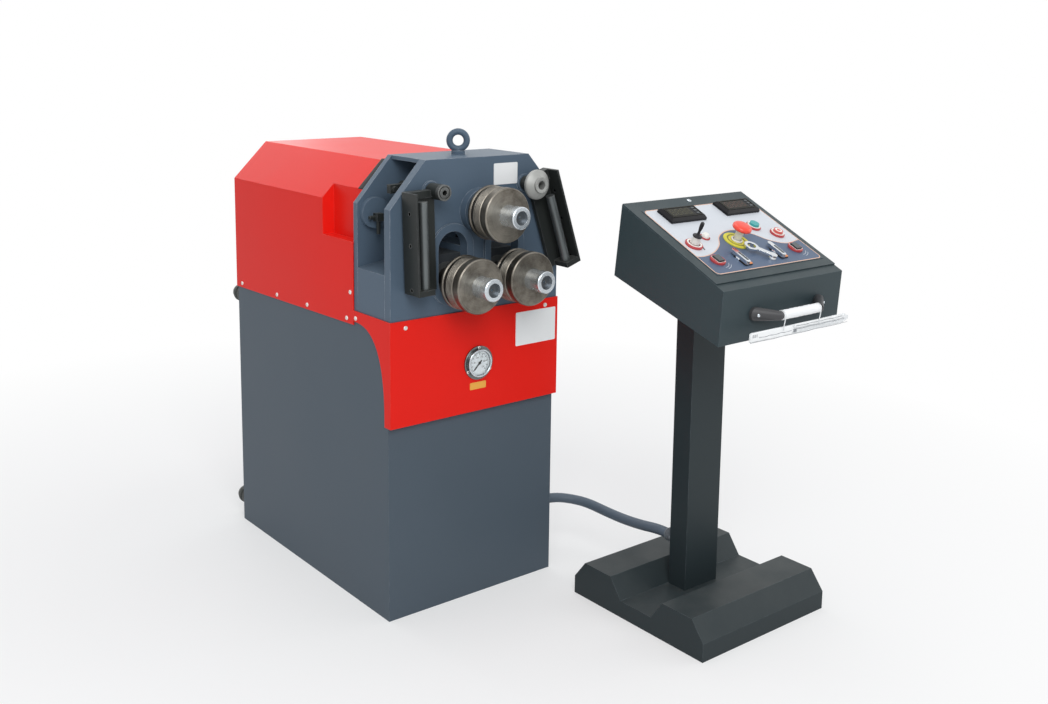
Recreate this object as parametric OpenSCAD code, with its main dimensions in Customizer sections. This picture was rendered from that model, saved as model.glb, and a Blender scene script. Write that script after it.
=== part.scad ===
// Angle roll bender: three driven rolls on a cabinet, with a control pedestal.
// Millimetres, +Z up, the rolls face -Y. The origin is the centre of the cabinet's floor face.

/* [Cabinet] */
// Width of the cabinet and of the bending head
cabinet_w = 536; // [500:1:600]
// Depth of the cabinet
cabinet_d = 840; // [800:1:900]
// Height of the cabinet, up to the deck that carries the head
cabinet_h = 770; // [740:1:820]
// Sheet thickness of the cabinet
cabinet_wall = 4; // [2:0.5:6]
// Thickness of the cabinet's floor plate
floor_t = 8; // [4:1:14]
// Thickness of the deck plate
deck_t = 12; // [8:1:18]

/* [Bending head] */
// Thickness of the front plate
front_plate_t = 26; // [24:1:34]
// Thickness of the rear plate
rear_plate_t = 18; // [17:1:26]
// Clear depth between the two plates
cavity_d = 128; // [116:1:140]
// How far the front plate stands in front of the cabinet
front_proud = 12; // [6:1:18]
// Height of the head above the deck
head_h = 421; // [412:1:436]
// Width of the chamfers at the head's top corners
head_chamfer = 104; // [80:1:110]
// Height of those chamfers
head_chamfer_h = 117; // [100:1:125]
// Thickness of the head's top plate
top_plate_t = 10; // [8:1:16]
// Height of the side blocks at their inner edge
side_block_h = 160; // [120:1:180]
// Fall of the side blocks' top towards the outside
side_block_fall = 22; // [0:1:40]
// Radius of the arched slots of the lower shafts
slot_r = 45; // [42:0.5:46]
// Width of the raised rim round each slot
slot_rim_w = 20; // [8:1:22]
// Height of the raised rim
slot_rim_h = 6; // [3:0.5:8]
// Radius of the boss round the upper shaft
boss_r = 58; // [48:1:62]
// Height of that boss
boss_h = 24; // [10:1:30]

/* [Rolls] */
// Diameter of the rolls
roll_d = 140; // [120:1:146]
// Height of the upper roll's axis above the deck
upper_axis_h = 284; // [276:1:292]
// Height of the upper axis above the lower axes
roll_drop = 171; // [160:1:180]
// Distance between the lower axes
roll_spread = 166; // [162:1:180]
// Distance from the front plate to the rolls' front faces
roll_reach = 125; // [118:1:140]
// Width of the thin rear ring
rear_ring_w = 11; // [6:1:16]
// Width of the middle ring
mid_ring_w = 32; // [20:1:36]
// Width of the front ring
front_ring_w = 24; // [16:1:28]
// Width of the gap between two rings
ring_gap_w = 5; // [3:0.5:8]
// Diameter of the shafts
shaft_d = 50; // [44:1:54]
// Diameter of the shafts' threaded ends
thread_d = 36; // [32:1:40]
// Length of the nose from the roll face to the end of the nut
nose_len = 55; // [46:1:70]
// Outer diameter of the ring nut
nut_d = 57; // [50:1:64]
// Length of the ring nut
nut_len = 26; // [18:1:30]
// Lift of the lower rolls
lift = 50; // [20:1:52]

/* [Slide blocks and cylinders] */
// Width of a slide block
block_w = 96; // [90:1:100]
// Height of a slide block
block_h = 120; // [104:1:124]
// Outer radius of a bearing
bearing_r = 40; // [36:1:44]
// Width of a bearing
bearing_w = 16; // [12:1:17]
// Radius of a cylinder's barrel
barrel_r = 44; // [40:1:47]
// Length of a cylinder's barrel
barrel_len = 220; // [200:1:300]
// Radius of a cylinder's rod
rod_r = 22; // [16:1:24]
// Radius of a drive motor
motor_r = 55; // [48:1:60]
// Length of a drive motor
motor_len = 120; // [90:1:140]

/* [Side guides] */
// Distance of the guides' pivots from the middle
guide_pivot_x = 150; // [144:1:156]
// Height of the guides' pivots above the deck
guide_pivot_h = 345; // [338:1:350]
// Length of the guide brackets below the pivot
guide_drop = 248; // [230:1:256]
// Distance from the left pivot to the outer face of its bracket
left_guide_reach = 89; // [84:1:94]
// Distance from the right pivot to the outer face of its bracket
right_guide_reach = 67; // [64:1:76]
// Distance from a bracket's outer face to its roller's axis
guide_roller_inset = 32; // [28:1:36]
// Radius of the guide rollers
guide_roller_r = 12; // [9:0.5:13]
// Depth of the guide channels
guide_depth = 64; // [60:1:70]
// Swing of the left guide as it hangs in the photo, towards the middle
left_lean_angle = 2; // [0:0.5:3]
// Swing of the right guide as it hangs in the photo, away from the middle
right_lean_angle = 18.5; // [0:0.5:20]

/* [Cover and apron] */
// Sheet thickness of the cover and the apron
skin_t = 3; // [1.5:0.5:4]
// How far the cover laps down over the cabinet
cover_lap = 15; // [10:1:25]
// Height above the deck of the fold where the cover's chamfer starts
cover_fold_h = 300; // [285:1:310]
// Height of the cover's top above the deck
cover_h = 405; // [395:1:415]
// Fall of the cover's lower edge towards the rear
cover_fall = 13; // [0:1:14]
// Length of the pocket beside the head
pocket_len = 153; // [100:1:180]
// Depth of that pocket
pocket_d = 35; // [20:1:45]
// Height of the pocket's floor above the deck
pocket_h = 202; // [190:1:215]
// Distance from the deck down to the apron's lower edge
apron_drop = 251; // [230:1:270]
// Distance from the deck up to the apron's upper edge
apron_rise = 23; // [16:1:26]
// Width of the apron's flank at its lower end
flank_low_w = 28; // [15:1:50]
// Radius of the pressure gauge's flange
gauge_r = 45; // [38:1:50]
// Distance from the deck down to the gauge's centre
gauge_drop = 120; // [100:1:140]

/* [Pedestal] */
// Distance from the cabinet's right wall to the pedestal base
pedestal_gap_x = -44; // [-60:1:0]
// Distance from the cabinet's front face to the pedestal base
pedestal_gap_y = 163; // [150:1:200]
// Width of the pedestal's base
base_w = 464; // [450:1:480]
// Depth of the pedestal's base
base_d = 470; // [455:1:490]
// Height of the base's ridges
base_h = 98; // [80:1:106]
// Height of the base's upright edges
base_edge_h = 48; // [30:1:60]
// Height of the valley between the ridges
valley_h = 45; // [30:1:60]
// Width of the flat top of a ridge
ridge_w = 100; // [80:1:110]
// Run of each slope of a ridge
ridge_run = 40; // [25:1:45]
// Width of the column
column_w = 122; // [100:1:130]
// Depth of the column
column_d = 60; // [50:1:70]
// How far the column stands to the right of the base's middle
column_shift = 5; // [0:1:8]
// Wall of the column
column_wall = 4; // [2:0.5:6]

/* [Console] */
// Width of the console
console_w = 445; // [430:1:460]
// Height of the console's front bottom edge
console_low = 787; // [760:1:820]
// Height of the console's front face
console_front_h = 133; // [120:1:150]
// Height of the console's rear face
console_rear_h = 183; // [170:1:200]
// Level run of the sloped panel
panel_run = 344; // [330:1:350]
// Rise of the sloped panel
panel_rise = 162; // [150:1:170]
// How far the front face leans out at its top
front_lean = 10; // [0:1:16]
// How far the rear face leans in at its top
rear_lean = 22; // [10:1:30]
// Sheet thickness of the console
console_wall = 3; // [2:0.5:4]
// Thickness of the lid
lid_t = 4; // [2:0.5:6]
// Distance from the panel's front edge to the lid's seam
seam_v = 27; // [20:1:34]
// Distance between the handle's feet
handle_span = 240; // [200:1:260]
// How far the handle's bar stands off the console
handle_reach = 42; // [36:1:50]
// Outer diameter of the conduit
conduit_d = 28; // [22:1:30]

/* [Hidden] */
$fn = 64;

// Clearances and cuts
overrun = 1;
run_clear = 0.05;
slide_clear = 0.3;
seat_clear = 0.3;

// Colours of the finishes
slate = "#59666f";
cabinet_grey = "#4f575e";
signal_red = "#cd2b28";
console_grey = "#3e484e";
steel = "#8d8478";
bright = "#c9cdd0";
dark = "#26292c";

// Main planes
half_w = cabinet_w / 2;
front_y = -cabinet_d / 2;
rear_y = cabinet_d / 2;
plate_y0 = front_y - front_proud;
plate_y1 = plate_y0 + front_plate_t;
back_y0 = plate_y1 + cavity_d;
back_y1 = back_y0 + rear_plate_t;
cavity_y = (plate_y1 + back_y0) / 2;
head_top = cabinet_h + head_h;
chamfer_z = head_top - head_chamfer_h;
upper_z = cabinet_h + upper_axis_h;
lower_z = upper_z - roll_drop;
lower_x = roll_spread / 2;
shaft_r = shaft_d / 2;
thread_r = thread_d / 2;
roll_r = roll_d / 2;
roll_y0 = plate_y0 - roll_reach;
roll_w = rear_ring_w + mid_ring_w + front_ring_w + 2 * ring_gap_w;
roll_y1 = roll_y0 + roll_w;
nut_y = roll_y0 - nose_len;

// Shaft details
collar_w = 8;
collar_r = shaft_r + collar_w;
collar_gap = 1;
shaft_recess = 10;
centre_r = 4;
centre_deep = 10;
seat_len = 17;
shaft_tail = 30;
nut_edge = 2;
taper_foot = 3;
taper_len = 14;
neck_cut = 1;
ring_edge = 2.5;
ring_groove = 1.2;
gap_deep = 14;
slot_deep = 17;
spacer_r = roll_r - gap_deep;
slot_spacer_r = roll_r - slot_deep;

// Slots: the arch clears the shaft at full lift
slot_head_room = 28;
slot_foot_room = 4;
shaft_room = 5;
slot_arch_z = lower_z + lift + slot_head_room;
slot_foot_z = lower_z - slot_foot_room;
shaft_hole_r = shaft_r + shaft_room;
bearing_seat_r = bearing_r + run_clear;

// Block and cylinder details
way_half = lower_x - block_w / 2 - slide_clear;
block_x1 = lower_x + block_w / 2 + slide_clear;
way_rise = 77;
way_top = lower_z + way_rise;
core_base_t = 22;
rod_room = 4;
rod_hole_r = rod_r + rod_room;
barrel_wall = 8;
piston_r = barrel_r - barrel_wall;
piston_h = 28;
barrel_end = 12;
gland_t = 18;
cyl_flange_w = 10;
cyl_flange_r = barrel_r + cyl_flange_w;
cyl_flange_t = 14;
piston_room = 12;
barrel_top = cabinet_h - deck_t;
barrel_low = barrel_top - barrel_len;
piston_z = barrel_low + barrel_end + piston_room;
adapter_r = 36;
motor_gap = 4;
motor_flange_w = 7;
motor_flange_r = motor_r + motor_flange_w;
motor_flange_t = 14;
port_w = 46;
port_h = 26;

// Guide details
guide_z = cabinet_h + guide_pivot_h;
guide_gap = 8;
guide_y1 = plate_y0 - guide_gap;
guide_y0 = guide_y1 - guide_depth;
pivot_boss_r = 24;
pivot_boss_h = 6;
pivot_r = 12;
pivot_bore_r = 7;
hub_r = 20;
hub_groove_r = 14;
hub_groove_w = 2.5;
hub_groove_d = 3;
left_hub_out = 56;
right_hub_out = 42;
left_guide_rise = 6;
right_guide_rise = 17;
guide_flange_t = 5;
guide_web_t = 12;
guide_inner_x = 2;
guide_arm_d = 24;
guide_arm_drop = 12;
guide_foot_t = 14;
guide_foot_w = 16;
guide_roller_out = 43;
left_roller_drop = 17;
right_roller_drop = 46;
guide_hole_r = 4.5;
guide_hole_shares = [0.18, 0.5, 0.95];
guide_roller_y = guide_y1 - guide_roller_out;
guide_pin_r = 5;
washer_r = 39;
washer_rim_t = 6;
washer_dome_t = 12;
washer_dome_shares = [0.84, 0.45];
washer_bore_r = 11;
nose_ring_r = 21;
nose_ring_t = 6;
lever_t = 16;
lever_w = 22;
lever_len = 64;
lever_back = 56;
tail_gap = 10;
lever_bolt_r = 7;
lever_bolt_h = 8;
lug_r = 40;
lug_t = 16;
lug_inset = 47;
lug_drop = 67;
lug_x = half_w - lug_inset;
lug_z = guide_z - lug_drop;
stop_stud_r = 5;
stop_stud_len = 54;
stop_block = 20;

// Cover, apron and small fittings
cover_y0 = back_y1 + seat_clear;
cover_half = half_w + seat_clear + skin_t;
cover_low = cabinet_h - cover_lap;
cover_foot = cover_low - cover_fall;
cover_rear = rear_y + seat_clear + skin_t;
cover_fold = cabinet_h + cover_fold_h;
cover_top = cabinet_h + cover_h;
pocket_low = cabinet_h + pocket_h;
apron_low = cabinet_h - apron_drop;
apron_top = cabinet_h + apron_rise;
gauge_z = cabinet_h - gauge_drop;
cover_chamfer = cover_top - cover_fold;
deck_window_w = 380;
deck_window_front = 56;
deck_window_rear = 40;
apron_y1 = plate_y0 - seat_clear;
apron_y0 = apron_y1 - skin_t;
flank_rear = cover_y0 - seat_clear;
flank_edge_h = 28;
flank_steps = 14;
flank_bow_share = 0.74;
screw_r = 5.5;
screw_h = 3;
screw_inset = 13;
side_screw_shares = [0.028, 0.346, 0.612, 0.947];
flank_screw_rise = 46;
apron_screw_inset = 42;
apron_screw_drop = 18;
foot_r = 27;
foot_h = 58;
foot_inset = 28;
foot_low = 63;
foot_drop = 58;
foot_heights = [foot_low, cabinet_h - foot_drop];
foot_shares = [[0, 0], [1, 0], [1, 0.3], [0.86, 0.34], [0.86, 0.44], [1, 0.48], [1, 0.66], [0.82, 0.9],
    [0.5, 1], [0, 1]];
eye_ring_r = 22.5;
eye_bar_r = 8.5;
eye_z = 36;
eye_turn_angle = -35;
eye_collar_r = 18;
eye_collar_h = 9;
eye_neck_r = 9;
gauge_body_r = 31;
gauge_body_d = 42;
gauge_flange_t = 4;
gauge_rim_r = 37;
gauge_rim_t = 4;
gauge_rim_h = 8;
gauge_dial_h = 2;
gauge_screw_r = 3;
gauge_screw_h = 2;
gauge_screw_ring = 41;
needle_len = 24;
needle_tail = 9;
needle_w = 3;
needle_t = 1;
needle_hub_r = 4;
needle_pin_r = 1.5;
needle_gap = 1;

// Power unit inside the cabinet
tank_w = 340;
tank_d = 380;
tank_h = 250;
tank_rear = 60;
tank_cap_r = 28;
tank_cap_h = 18;
power_r = 72;
power_len = 230;
power_box = 70;
power_foot_share = 0.8;
power_foot_ends = [0.8, 0.2];
power_box_share = 0.7;
power_foot_h = 16;
power_cap_r = 60;
power_cap_len = 26;
pump_r = 44;
pump_len = 80;
valve_w = 120;
valve_d = 70;
valve_h = 60;

// Pedestal
ped_x0 = half_w + pedestal_gap_x;
ped_x = ped_x0 + base_w / 2;
ped_y1 = front_y - pedestal_gap_y;
ped_y0 = ped_y1 - base_d;
base_sheet = 5;
column_back = 2;
valley_y1 = ped_y1 - 2 * ridge_run - ridge_w;
column_y1 = valley_y1 - column_back;
column_y0 = column_y1 - column_d;
column_seam = 0.2;
column_x0 = ped_x + column_shift - column_w / 2;
column_x1 = column_x0 + column_w;

// Console outline in depth and height
console_overhang = 2;
con_y0 = ped_y0 - console_overhang;
con_top_y0 = con_y0 - front_lean;
con_top_z0 = console_low + console_front_h;
con_top_y1 = con_top_y0 + panel_run;
con_top_z1 = con_top_z0 + panel_rise;
con_y1 = con_top_y1 + rear_lean;
con_low_z1 = con_top_z1 - console_rear_h;
con_x0 = ped_x - console_w / 2;
panel_slope = atan2(panel_rise, panel_run);
panel_len = norm([panel_run, panel_rise]);
face_lean = atan2(front_lean, console_front_h);
con_low_slope = (con_low_z1 - console_low) / (con_y1 - con_y0);
rim_w = 12;
lid_screw_r = 5;
lid_screw_h = 2;
lid_screw_back = 18;

// Panel layout: distance from the left edge and up the slope
overlay_t = 1.2;
overlay_left = 30;
overlay_right = 17;
overlay_low = 54;
overlay_high = 340;
panel_top = lid_t + overlay_t;
readout_w = 126;
readout_d = 58;
readout_h = 13;
readout_edge = 6;
readout_shares = [0.308, 0.78];
readout_v = [300, 305];
readout_at = [for (i = [0, 1]) [console_w * readout_shares[i], readout_v[i]]];
joy_share = 0.148;
joy_v = 178;
joy_at = [console_w * joy_share, joy_v];
estop_share = 0.477;
estop_v = 170;
estop_at = [console_w * estop_share, estop_v];
start_share = 0.733;
start_v = 218;
start_at = [console_w * start_share, start_v];
stop_share = 0.845;
stop_v = 176;
stop_at = [console_w * stop_share, stop_v];
sel_left_share = 0.342;
sel_left_v = 100;
sel_left_at = [console_w * sel_left_share, sel_left_v];
sel_right_share = 0.656;
sel_right_v = 105;
sel_right_at = [console_w * sel_right_share, sel_right_v];
key_share = 0.573;
key_v = 82;
key_at = [console_w * key_share, key_v];
rock_left_share = 0.18;
rock_left_v = 106;
rock_left_at = [console_w * rock_left_share, rock_left_v];
rock_right_share = 0.84;
rock_right_v = 108;
rock_right_at = [console_w * rock_right_share, rock_right_v];
stem_hole_r = 11.3;
ring_r = 20;
ring_in_r = 13;
ring_h = 6;
joy_ring_r = 23;
joy_ring_in = 15;
joy_ball_r = 11;
joy_stalk_r = 3.5;
joy_stalk_h = 52;
joy_grip_r = 5.5;
joy_grip_h = 18;
joy_collar_r = 12;
joy_collar_top_r = 10.2;
joy_collar_h = 18;
joy_disc_r = 12;
joy_disc_h = 4;
joy_pin_r = 2;
joy_pin_len = 40;
estop_plate_r = 35;
estop_plate_t = 3;
estop_r = 25;
estop_h = 14;
estop_lift = 32;
estop_shares = [[0, 0], [0.8, 0], [1, 0.3], [0.92, 0.75], [0.55, 1], [0, 1]];
stem_r = 10;
stem_len = 16;
button_r = 12.5;
button_h = 11;
press_in = 4;
sel_base_w = 30;
sel_base_d = 46;
sel_base_h = 4;
sel_w = 14;
sel_len = 62;
sel_h = 9;
sel_gap = 0.4;
key_lock_r = 10;
key_lock_h = 8;
key_ring_r = 19;
key_hole_r = 11.5;
key_reach = 58;
key_angle = 36;
key_w = 14;
key_t = 5;
rocker_w = 20;
rocker_d = 24;
rocker_rise = 7;
rocker_sink = 6;
rocker_room = 1.6;
rocker_pin_r = 1.5;
rocker_pin_len = 30;

// Handle and pouch on the console's front face
handle_v = 66;
handle_foot_r = 17;
handle_foot_t = 8;
handle_bar_r = 10;
handle_bar_share = 0.36;
handle_shoulder = 1.5;
handle_shift = 12;
sleeve_r = 12.5;
sleeve_len = 140;
sleeve_shift = 12;
strap_w = 5;
strap_t = 1.5;
pouch_len = 374;
pouch_h = 26;
pouch_t = 5;
pouch_drop = 26;
pouch_shift = 13;

// Conduit: route points chosen by hand, from the cabinet's gland to the column's gland
conduit_r = conduit_d / 2;
conduit_sides = 10;
gland_len = 32;
gland_rib = 4;
gland_neck = 1.5;
gland_nut = 7;
gland_r = conduit_r + gland_rib;
gland_neck_r = conduit_r + gland_neck;
gland_nut_r = conduit_r + gland_nut;
gland_nut_t = 9;
gland_ribs = 4;
hex_sides = 6;
outlet_back = 85;
outlet_z = 165;
inlet_left = 32;
conduit_start = [half_w + gland_len, front_y + outlet_back, outlet_z];
conduit_end = [ped_x - inlet_left, column_y1 + gland_len];
route = [[0, 0, 0], [14, 0, 0], [38, -3, -2], [63, -11, -4], [85, -25, -7], [103, -44, -10], [115, -67, -12],
    [122, -93, -14], [124, -125, -15], [124, -165, -15], [124, -210, -14], [124, -255, -11], [124, -300, -6],
    [124, -345, 1], [124, -376, 4], [124, -398, 4]];
route_end = route[len(route) - 1];
route_x = (conduit_end[0] - conduit_start[0]) / route_end[0];
route_y = (conduit_end[1] - conduit_start[1]) / route_end[1];
conduit_route = [for (p = route) conduit_start + [p[0] * route_x, p[1] * route_y, p[2]]];

// A cylinder along Y through a point of the XZ plane
module rod_y(x, z, y0, y1, r) {
    translate([x, y0, z]) rotate([-90, 0, 0]) cylinder(r = r, h = y1 - y0);
}

// A cylinder along Z
module rod_z(x, y, z0, z1, r) {
    translate([x, y, z0]) cylinder(r = r, h = z1 - z0);
}

// A turned piece on an axis along Y, from points of radius and Y
module turned_y(x, z, points) {
    translate([x, 0, z]) rotate([-90, 0, 0]) rotate_extrude() polygon(points);
}

// An outline of X and Z drawn between two Y planes
module slab_y(y0, y1) {
    translate([0, y1, 0]) rotate([90, 0, 0]) linear_extrude(y1 - y0) children();
}

// An outline of Y and Z drawn between two X planes
module slab_x(x0, x1) {
    translate([x0, 0, 0]) rotate([90, 0, 90]) linear_extrude(x1 - x0) children();
}

// A block between two corners
module block(p, q) {
    translate(p) cube(q - p);
}

// Both sides of the machine
module both_sides() {
    children();
    mirror([1, 0, 0]) children();
}

// Upright slot outline with round ends
module slot_outline(r) {
    translate([lower_x, slot_arch_z]) circle(r = r);
    translate([lower_x, slot_foot_z]) circle(r = r);
    translate([lower_x - r, slot_foot_z]) square([2 * r, slot_arch_z - slot_foot_z]);
}

// Outline of the head's plates
module head_outline() {
    top_half = half_w - head_chamfer;
    polygon([[-half_w, cabinet_h], [half_w, cabinet_h], [half_w, chamfer_z], [top_half, head_top],
        [-top_half, head_top], [-half_w, chamfer_z]]);
}

module base_cabinet() {
    color(cabinet_grey) difference() {
        block([-half_w, front_y, 0], [half_w, rear_y, cabinet_h]);
        block([cabinet_wall - half_w, front_y + cabinet_wall, floor_t],
            [half_w - cabinet_wall, rear_y - cabinet_wall, cabinet_h - deck_t]);
        block([-deck_window_w / 2, back_y1 + deck_window_front, cabinet_h - deck_t - overrun],
            [deck_window_w / 2, rear_y - deck_window_rear, cabinet_h + overrun]);
        both_sides() rod_z(lower_x, cavity_y, cabinet_h - deck_t - overrun, cabinet_h + overrun, rod_hole_r);
        rod_y(0, gauge_z, front_y - overrun, front_y + cabinet_wall + overrun, gauge_body_r + overrun);
    }
}

module front_plate() {
    color(slate) difference() {
        union() {
            slab_y(plate_y0, plate_y1) head_outline();
            rod_y(0, upper_z, plate_y0 - boss_h, plate_y1, boss_r);
            slab_y(plate_y0 - slot_rim_h, plate_y1) both_sides() slot_outline(slot_r + slot_rim_w);
            both_sides() rod_y(guide_pivot_x, guide_z, plate_y0 - pivot_boss_h, plate_y1, pivot_boss_r);
        }
        slab_y(plate_y0 - slot_rim_h - overrun, plate_y1 + overrun) both_sides() slot_outline(slot_r);
        rod_y(0, upper_z, plate_y0 - boss_h - overrun, plate_y1 + overrun, shaft_hole_r);
        rod_y(0, upper_z, plate_y1 - bearing_w, plate_y1 + overrun, bearing_seat_r);
        both_sides() rod_y(guide_pivot_x, guide_z, plate_y0 - pivot_boss_h - overrun, plate_y1 + overrun,
            pivot_r + run_clear);
    }
}

module rear_plate() {
    color(slate) difference() {
        slab_y(back_y0, back_y1) head_outline();
        slab_y(back_y0 - overrun, back_y1 + overrun) both_sides() slot_outline(slot_r);
        rod_y(0, upper_z, back_y0 - overrun, back_y1 + overrun, shaft_hole_r);
        rod_y(0, upper_z, back_y0 - overrun, back_y0 + bearing_w, bearing_seat_r);
    }
}

// Welded core between the plates: side blocks, centre way, base and top plate
module head_core() {
    color(slate) {
        difference() {
            slab_y(plate_y1, back_y0) {
                both_sides() polygon([[block_x1, cabinet_h], [half_w, cabinet_h],
                    [half_w, cabinet_h + side_block_h - side_block_fall],
                    [block_x1, cabinet_h + side_block_h]]);
                translate([-way_half, cabinet_h]) square([2 * way_half, way_top - cabinet_h]);
                translate([-block_x1, cabinet_h]) square([2 * block_x1, core_base_t]);
            }
            both_sides() rod_z(lower_x, cavity_y, cabinet_h - overrun, cabinet_h + core_base_t + overrun,
                rod_hole_r);
        }
        difference() {
            block([head_chamfer - half_w, plate_y1, head_top - top_plate_t],
                [half_w - head_chamfer, back_y0, head_top]);
            rod_z(0, cavity_y, head_top - top_plate_t - overrun, head_top + overrun, eye_neck_r + run_clear);
        }
    }
}

// Outline of the cover seen from the front
module cover_outline() {
    polygon([[-cover_half, cover_foot], [cover_half, cover_foot], [cover_half, cover_fold],
        [cover_half - cover_chamfer, cover_top], [cover_chamfer - cover_half, cover_top],
        [-cover_half, cover_fold]]);
}

// Room of one pocket, widened by the sheet for its walls
module pocket_room(wall) {
    block([cover_half - pocket_d - wall, cover_y0 - overrun, pocket_low - wall],
        [cover_half + overrun, cover_y0 + pocket_len + wall, cover_top]);
}

module top_cover() {
    color(signal_red) difference() {
        slab_y(cover_y0, cover_rear) cover_outline();
        difference() {
            slab_y(cover_y0 - overrun, rear_y + seat_clear) difference() {
                offset(delta = -skin_t) cover_outline();
                translate([-cover_half, cover_foot]) square([2 * cover_half, skin_t]);
            }
            both_sides() pocket_room(skin_t);
        }
        block([-half_w - seat_clear, cover_y0 - overrun, cover_foot - overrun],
            [half_w + seat_clear, rear_y + seat_clear, cover_foot + skin_t + overrun]);
        slab_x(-cover_half - overrun, cover_half + overrun) polygon([
            [cover_y0 - overrun, cover_foot - overrun], [cover_y0 - overrun, cover_low],
            [cover_y0, cover_low], [cover_rear, cover_foot], [cover_rear, cover_foot - overrun]]);
        both_sides() pocket_room(0);
    }
}

// Side view of the apron's flank, with its hollow lower edge
module flank_outline() {
    run = flank_rear - apron_y0 - flank_low_w;
    rise = apron_top - flank_edge_h - apron_low;
    polygon(concat([[apron_y0, apron_low], [apron_y0, apron_top], [flank_rear, apron_top]],
        [for (i = [0 : flank_steps]) let (a = 90 * i / flank_steps)
            [flank_rear - run * pow(sin(a), flank_bow_share),
                apron_low + rise * pow(cos(a), flank_bow_share)]]));
}

module front_apron() {
    color(signal_red) difference() {
        union() {
            block([-cover_half, apron_y0, apron_low], [cover_half, apron_y1, apron_top]);
            block([-cover_half, apron_y0, apron_low], [cover_half, front_y - seat_clear, apron_low + skin_t]);
            both_sides() slab_x(half_w + seat_clear, cover_half) flank_outline();
        }
        rod_y(0, gauge_z, apron_y0 - overrun, apron_y1 + overrun, gauge_body_r + seat_clear);
    }
}

// A low domed screw head standing along +Z
module screw_head() {
    cylinder(r = screw_r, h = screw_h / 2);
    cylinder(r1 = screw_r, r2 = screw_r / 2, h = screw_h);
}

module cover_screws() {
    cover_len = rear_y - cover_y0;
    color(bright) {
        both_sides() for (share = side_screw_shares)
            translate([cover_half, cover_y0 + screw_inset + (cover_len - screw_inset) * share,
                cover_low + screw_inset - cover_fall * share]) rotate([0, 90, 0]) screw_head();
        both_sides() translate([cover_half, cover_y0 + screw_inset, apron_top + flank_screw_rise])
            rotate([0, 90, 0]) screw_head();
        both_sides() translate([cover_half, flank_rear - screw_inset, apron_top - screw_inset - screw_r])
            rotate([0, 90, 0]) screw_head();
        both_sides() translate([half_w - apron_screw_inset, apron_y0, apron_top - apron_screw_drop])
            rotate([90, 0, 0]) screw_head();
    }
}

// Round feet with a turned groove, on the cabinet's rear face
module rear_feet() {
    color(dark) both_sides() for (z = foot_heights)
        turned_y(half_w - foot_inset, z, [for (s = foot_shares) [foot_r * s[0], rear_y + foot_h * s[1]]]);
}

module lifting_eye() {
    color(slate) {
        translate([0, cavity_y, head_top + eye_z]) rotate([90, 0, eye_turn_angle]) rotate_extrude()
            translate([eye_ring_r, 0]) circle(r = eye_bar_r, $fn = 32);
        rod_z(0, cavity_y, head_top, head_top + eye_collar_h, eye_collar_r);
        rod_z(0, cavity_y, head_top - top_plate_t, head_top + eye_z - eye_ring_r, eye_neck_r);
    }
}

module gauge_case() {
    flange_y = apron_y0 - gauge_flange_t;
    color(bright) {
        difference() {
            union() {
                rod_y(0, gauge_z, flange_y, apron_y0, gauge_r);
                rod_y(0, gauge_z, flange_y, apron_y0 + gauge_body_d, gauge_body_r);
                rod_y(0, gauge_z, flange_y - gauge_rim_h, flange_y, gauge_rim_r);
            }
            rod_y(0, gauge_z, flange_y - gauge_rim_h - overrun, flange_y - gauge_dial_h,
                gauge_rim_r - gauge_rim_t);
        }
        rod_y(0, gauge_z, flange_y - gauge_dial_h - needle_gap - needle_t, flange_y - gauge_dial_h,
            needle_pin_r);
        for (i = [0 : 2]) let (a = 90 + 120 * i)
            rod_y(gauge_screw_ring * cos(a), gauge_z + gauge_screw_ring * sin(a), flange_y - gauge_screw_h,
                flange_y, gauge_screw_r);
    }
}

module gauge_needle() {
    y1 = apron_y0 - gauge_flange_t - gauge_dial_h - needle_gap;
    color(dark) difference() {
        union() {
            slab_y(y1 - needle_t, y1) translate([0, gauge_z]) rotate(225)
                translate([-needle_tail, -needle_w / 2]) square([needle_len + needle_tail, needle_w]);
            rod_y(0, gauge_z, y1 - needle_t, y1, needle_hub_r);
        }
        rod_y(0, gauge_z, y1 - needle_t - overrun, y1 + overrun, needle_pin_r + run_clear);
    }
}

// Shaft of one roll: threaded end, roll seat, collar and long tail
module roll_shaft(x, z) {
    end_y = nut_y + shaft_recess;
    seat_y = roll_y0 - seat_len;
    collar_y = plate_y0 - boss_h - collar_gap;
    tail_end = back_y1 + shaft_tail;
    color(steel) turned_y(x, z, [[0, end_y + centre_deep], [centre_r, end_y + centre_deep], [centre_r, end_y],
        [thread_r, end_y], [thread_r, seat_y], [shaft_r, seat_y], [shaft_r, roll_y1], [collar_r, roll_y1],
        [collar_r, collar_y], [shaft_r, collar_y], [shaft_r, tail_end], [0, tail_end]]);
}

// One turned ring with broken edges
module roll_ring(x, z, y0, y1, r, edge) {
    bore = shaft_r + run_clear;
    turned_y(x, z, [[bore, y0], [r - edge, y0], [r, y0 + edge], [r, y1 - edge], [r - edge, y1], [bore, y1]]);
}

// Middle ring with shallow turned grooves
module grooved_ring(x, z, y0, y1, r) {
    bore = shaft_r + run_clear;
    step = (y1 - y0) / 6;
    turned_y(x, z, concat([[bore, y0], [r - ring_edge, y0], [r, y0 + ring_edge]],
        [for (i = [1 : 4], p = [[0, 0], [ring_groove, ring_groove], [0, 2 * ring_groove]])
            [r - p[0], y0 + ring_edge + (i - 0.5) * step + p[1]]],
        [[r, y1 - ring_edge], [r - ring_edge, y1], [bore, y1]]));
}

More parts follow.
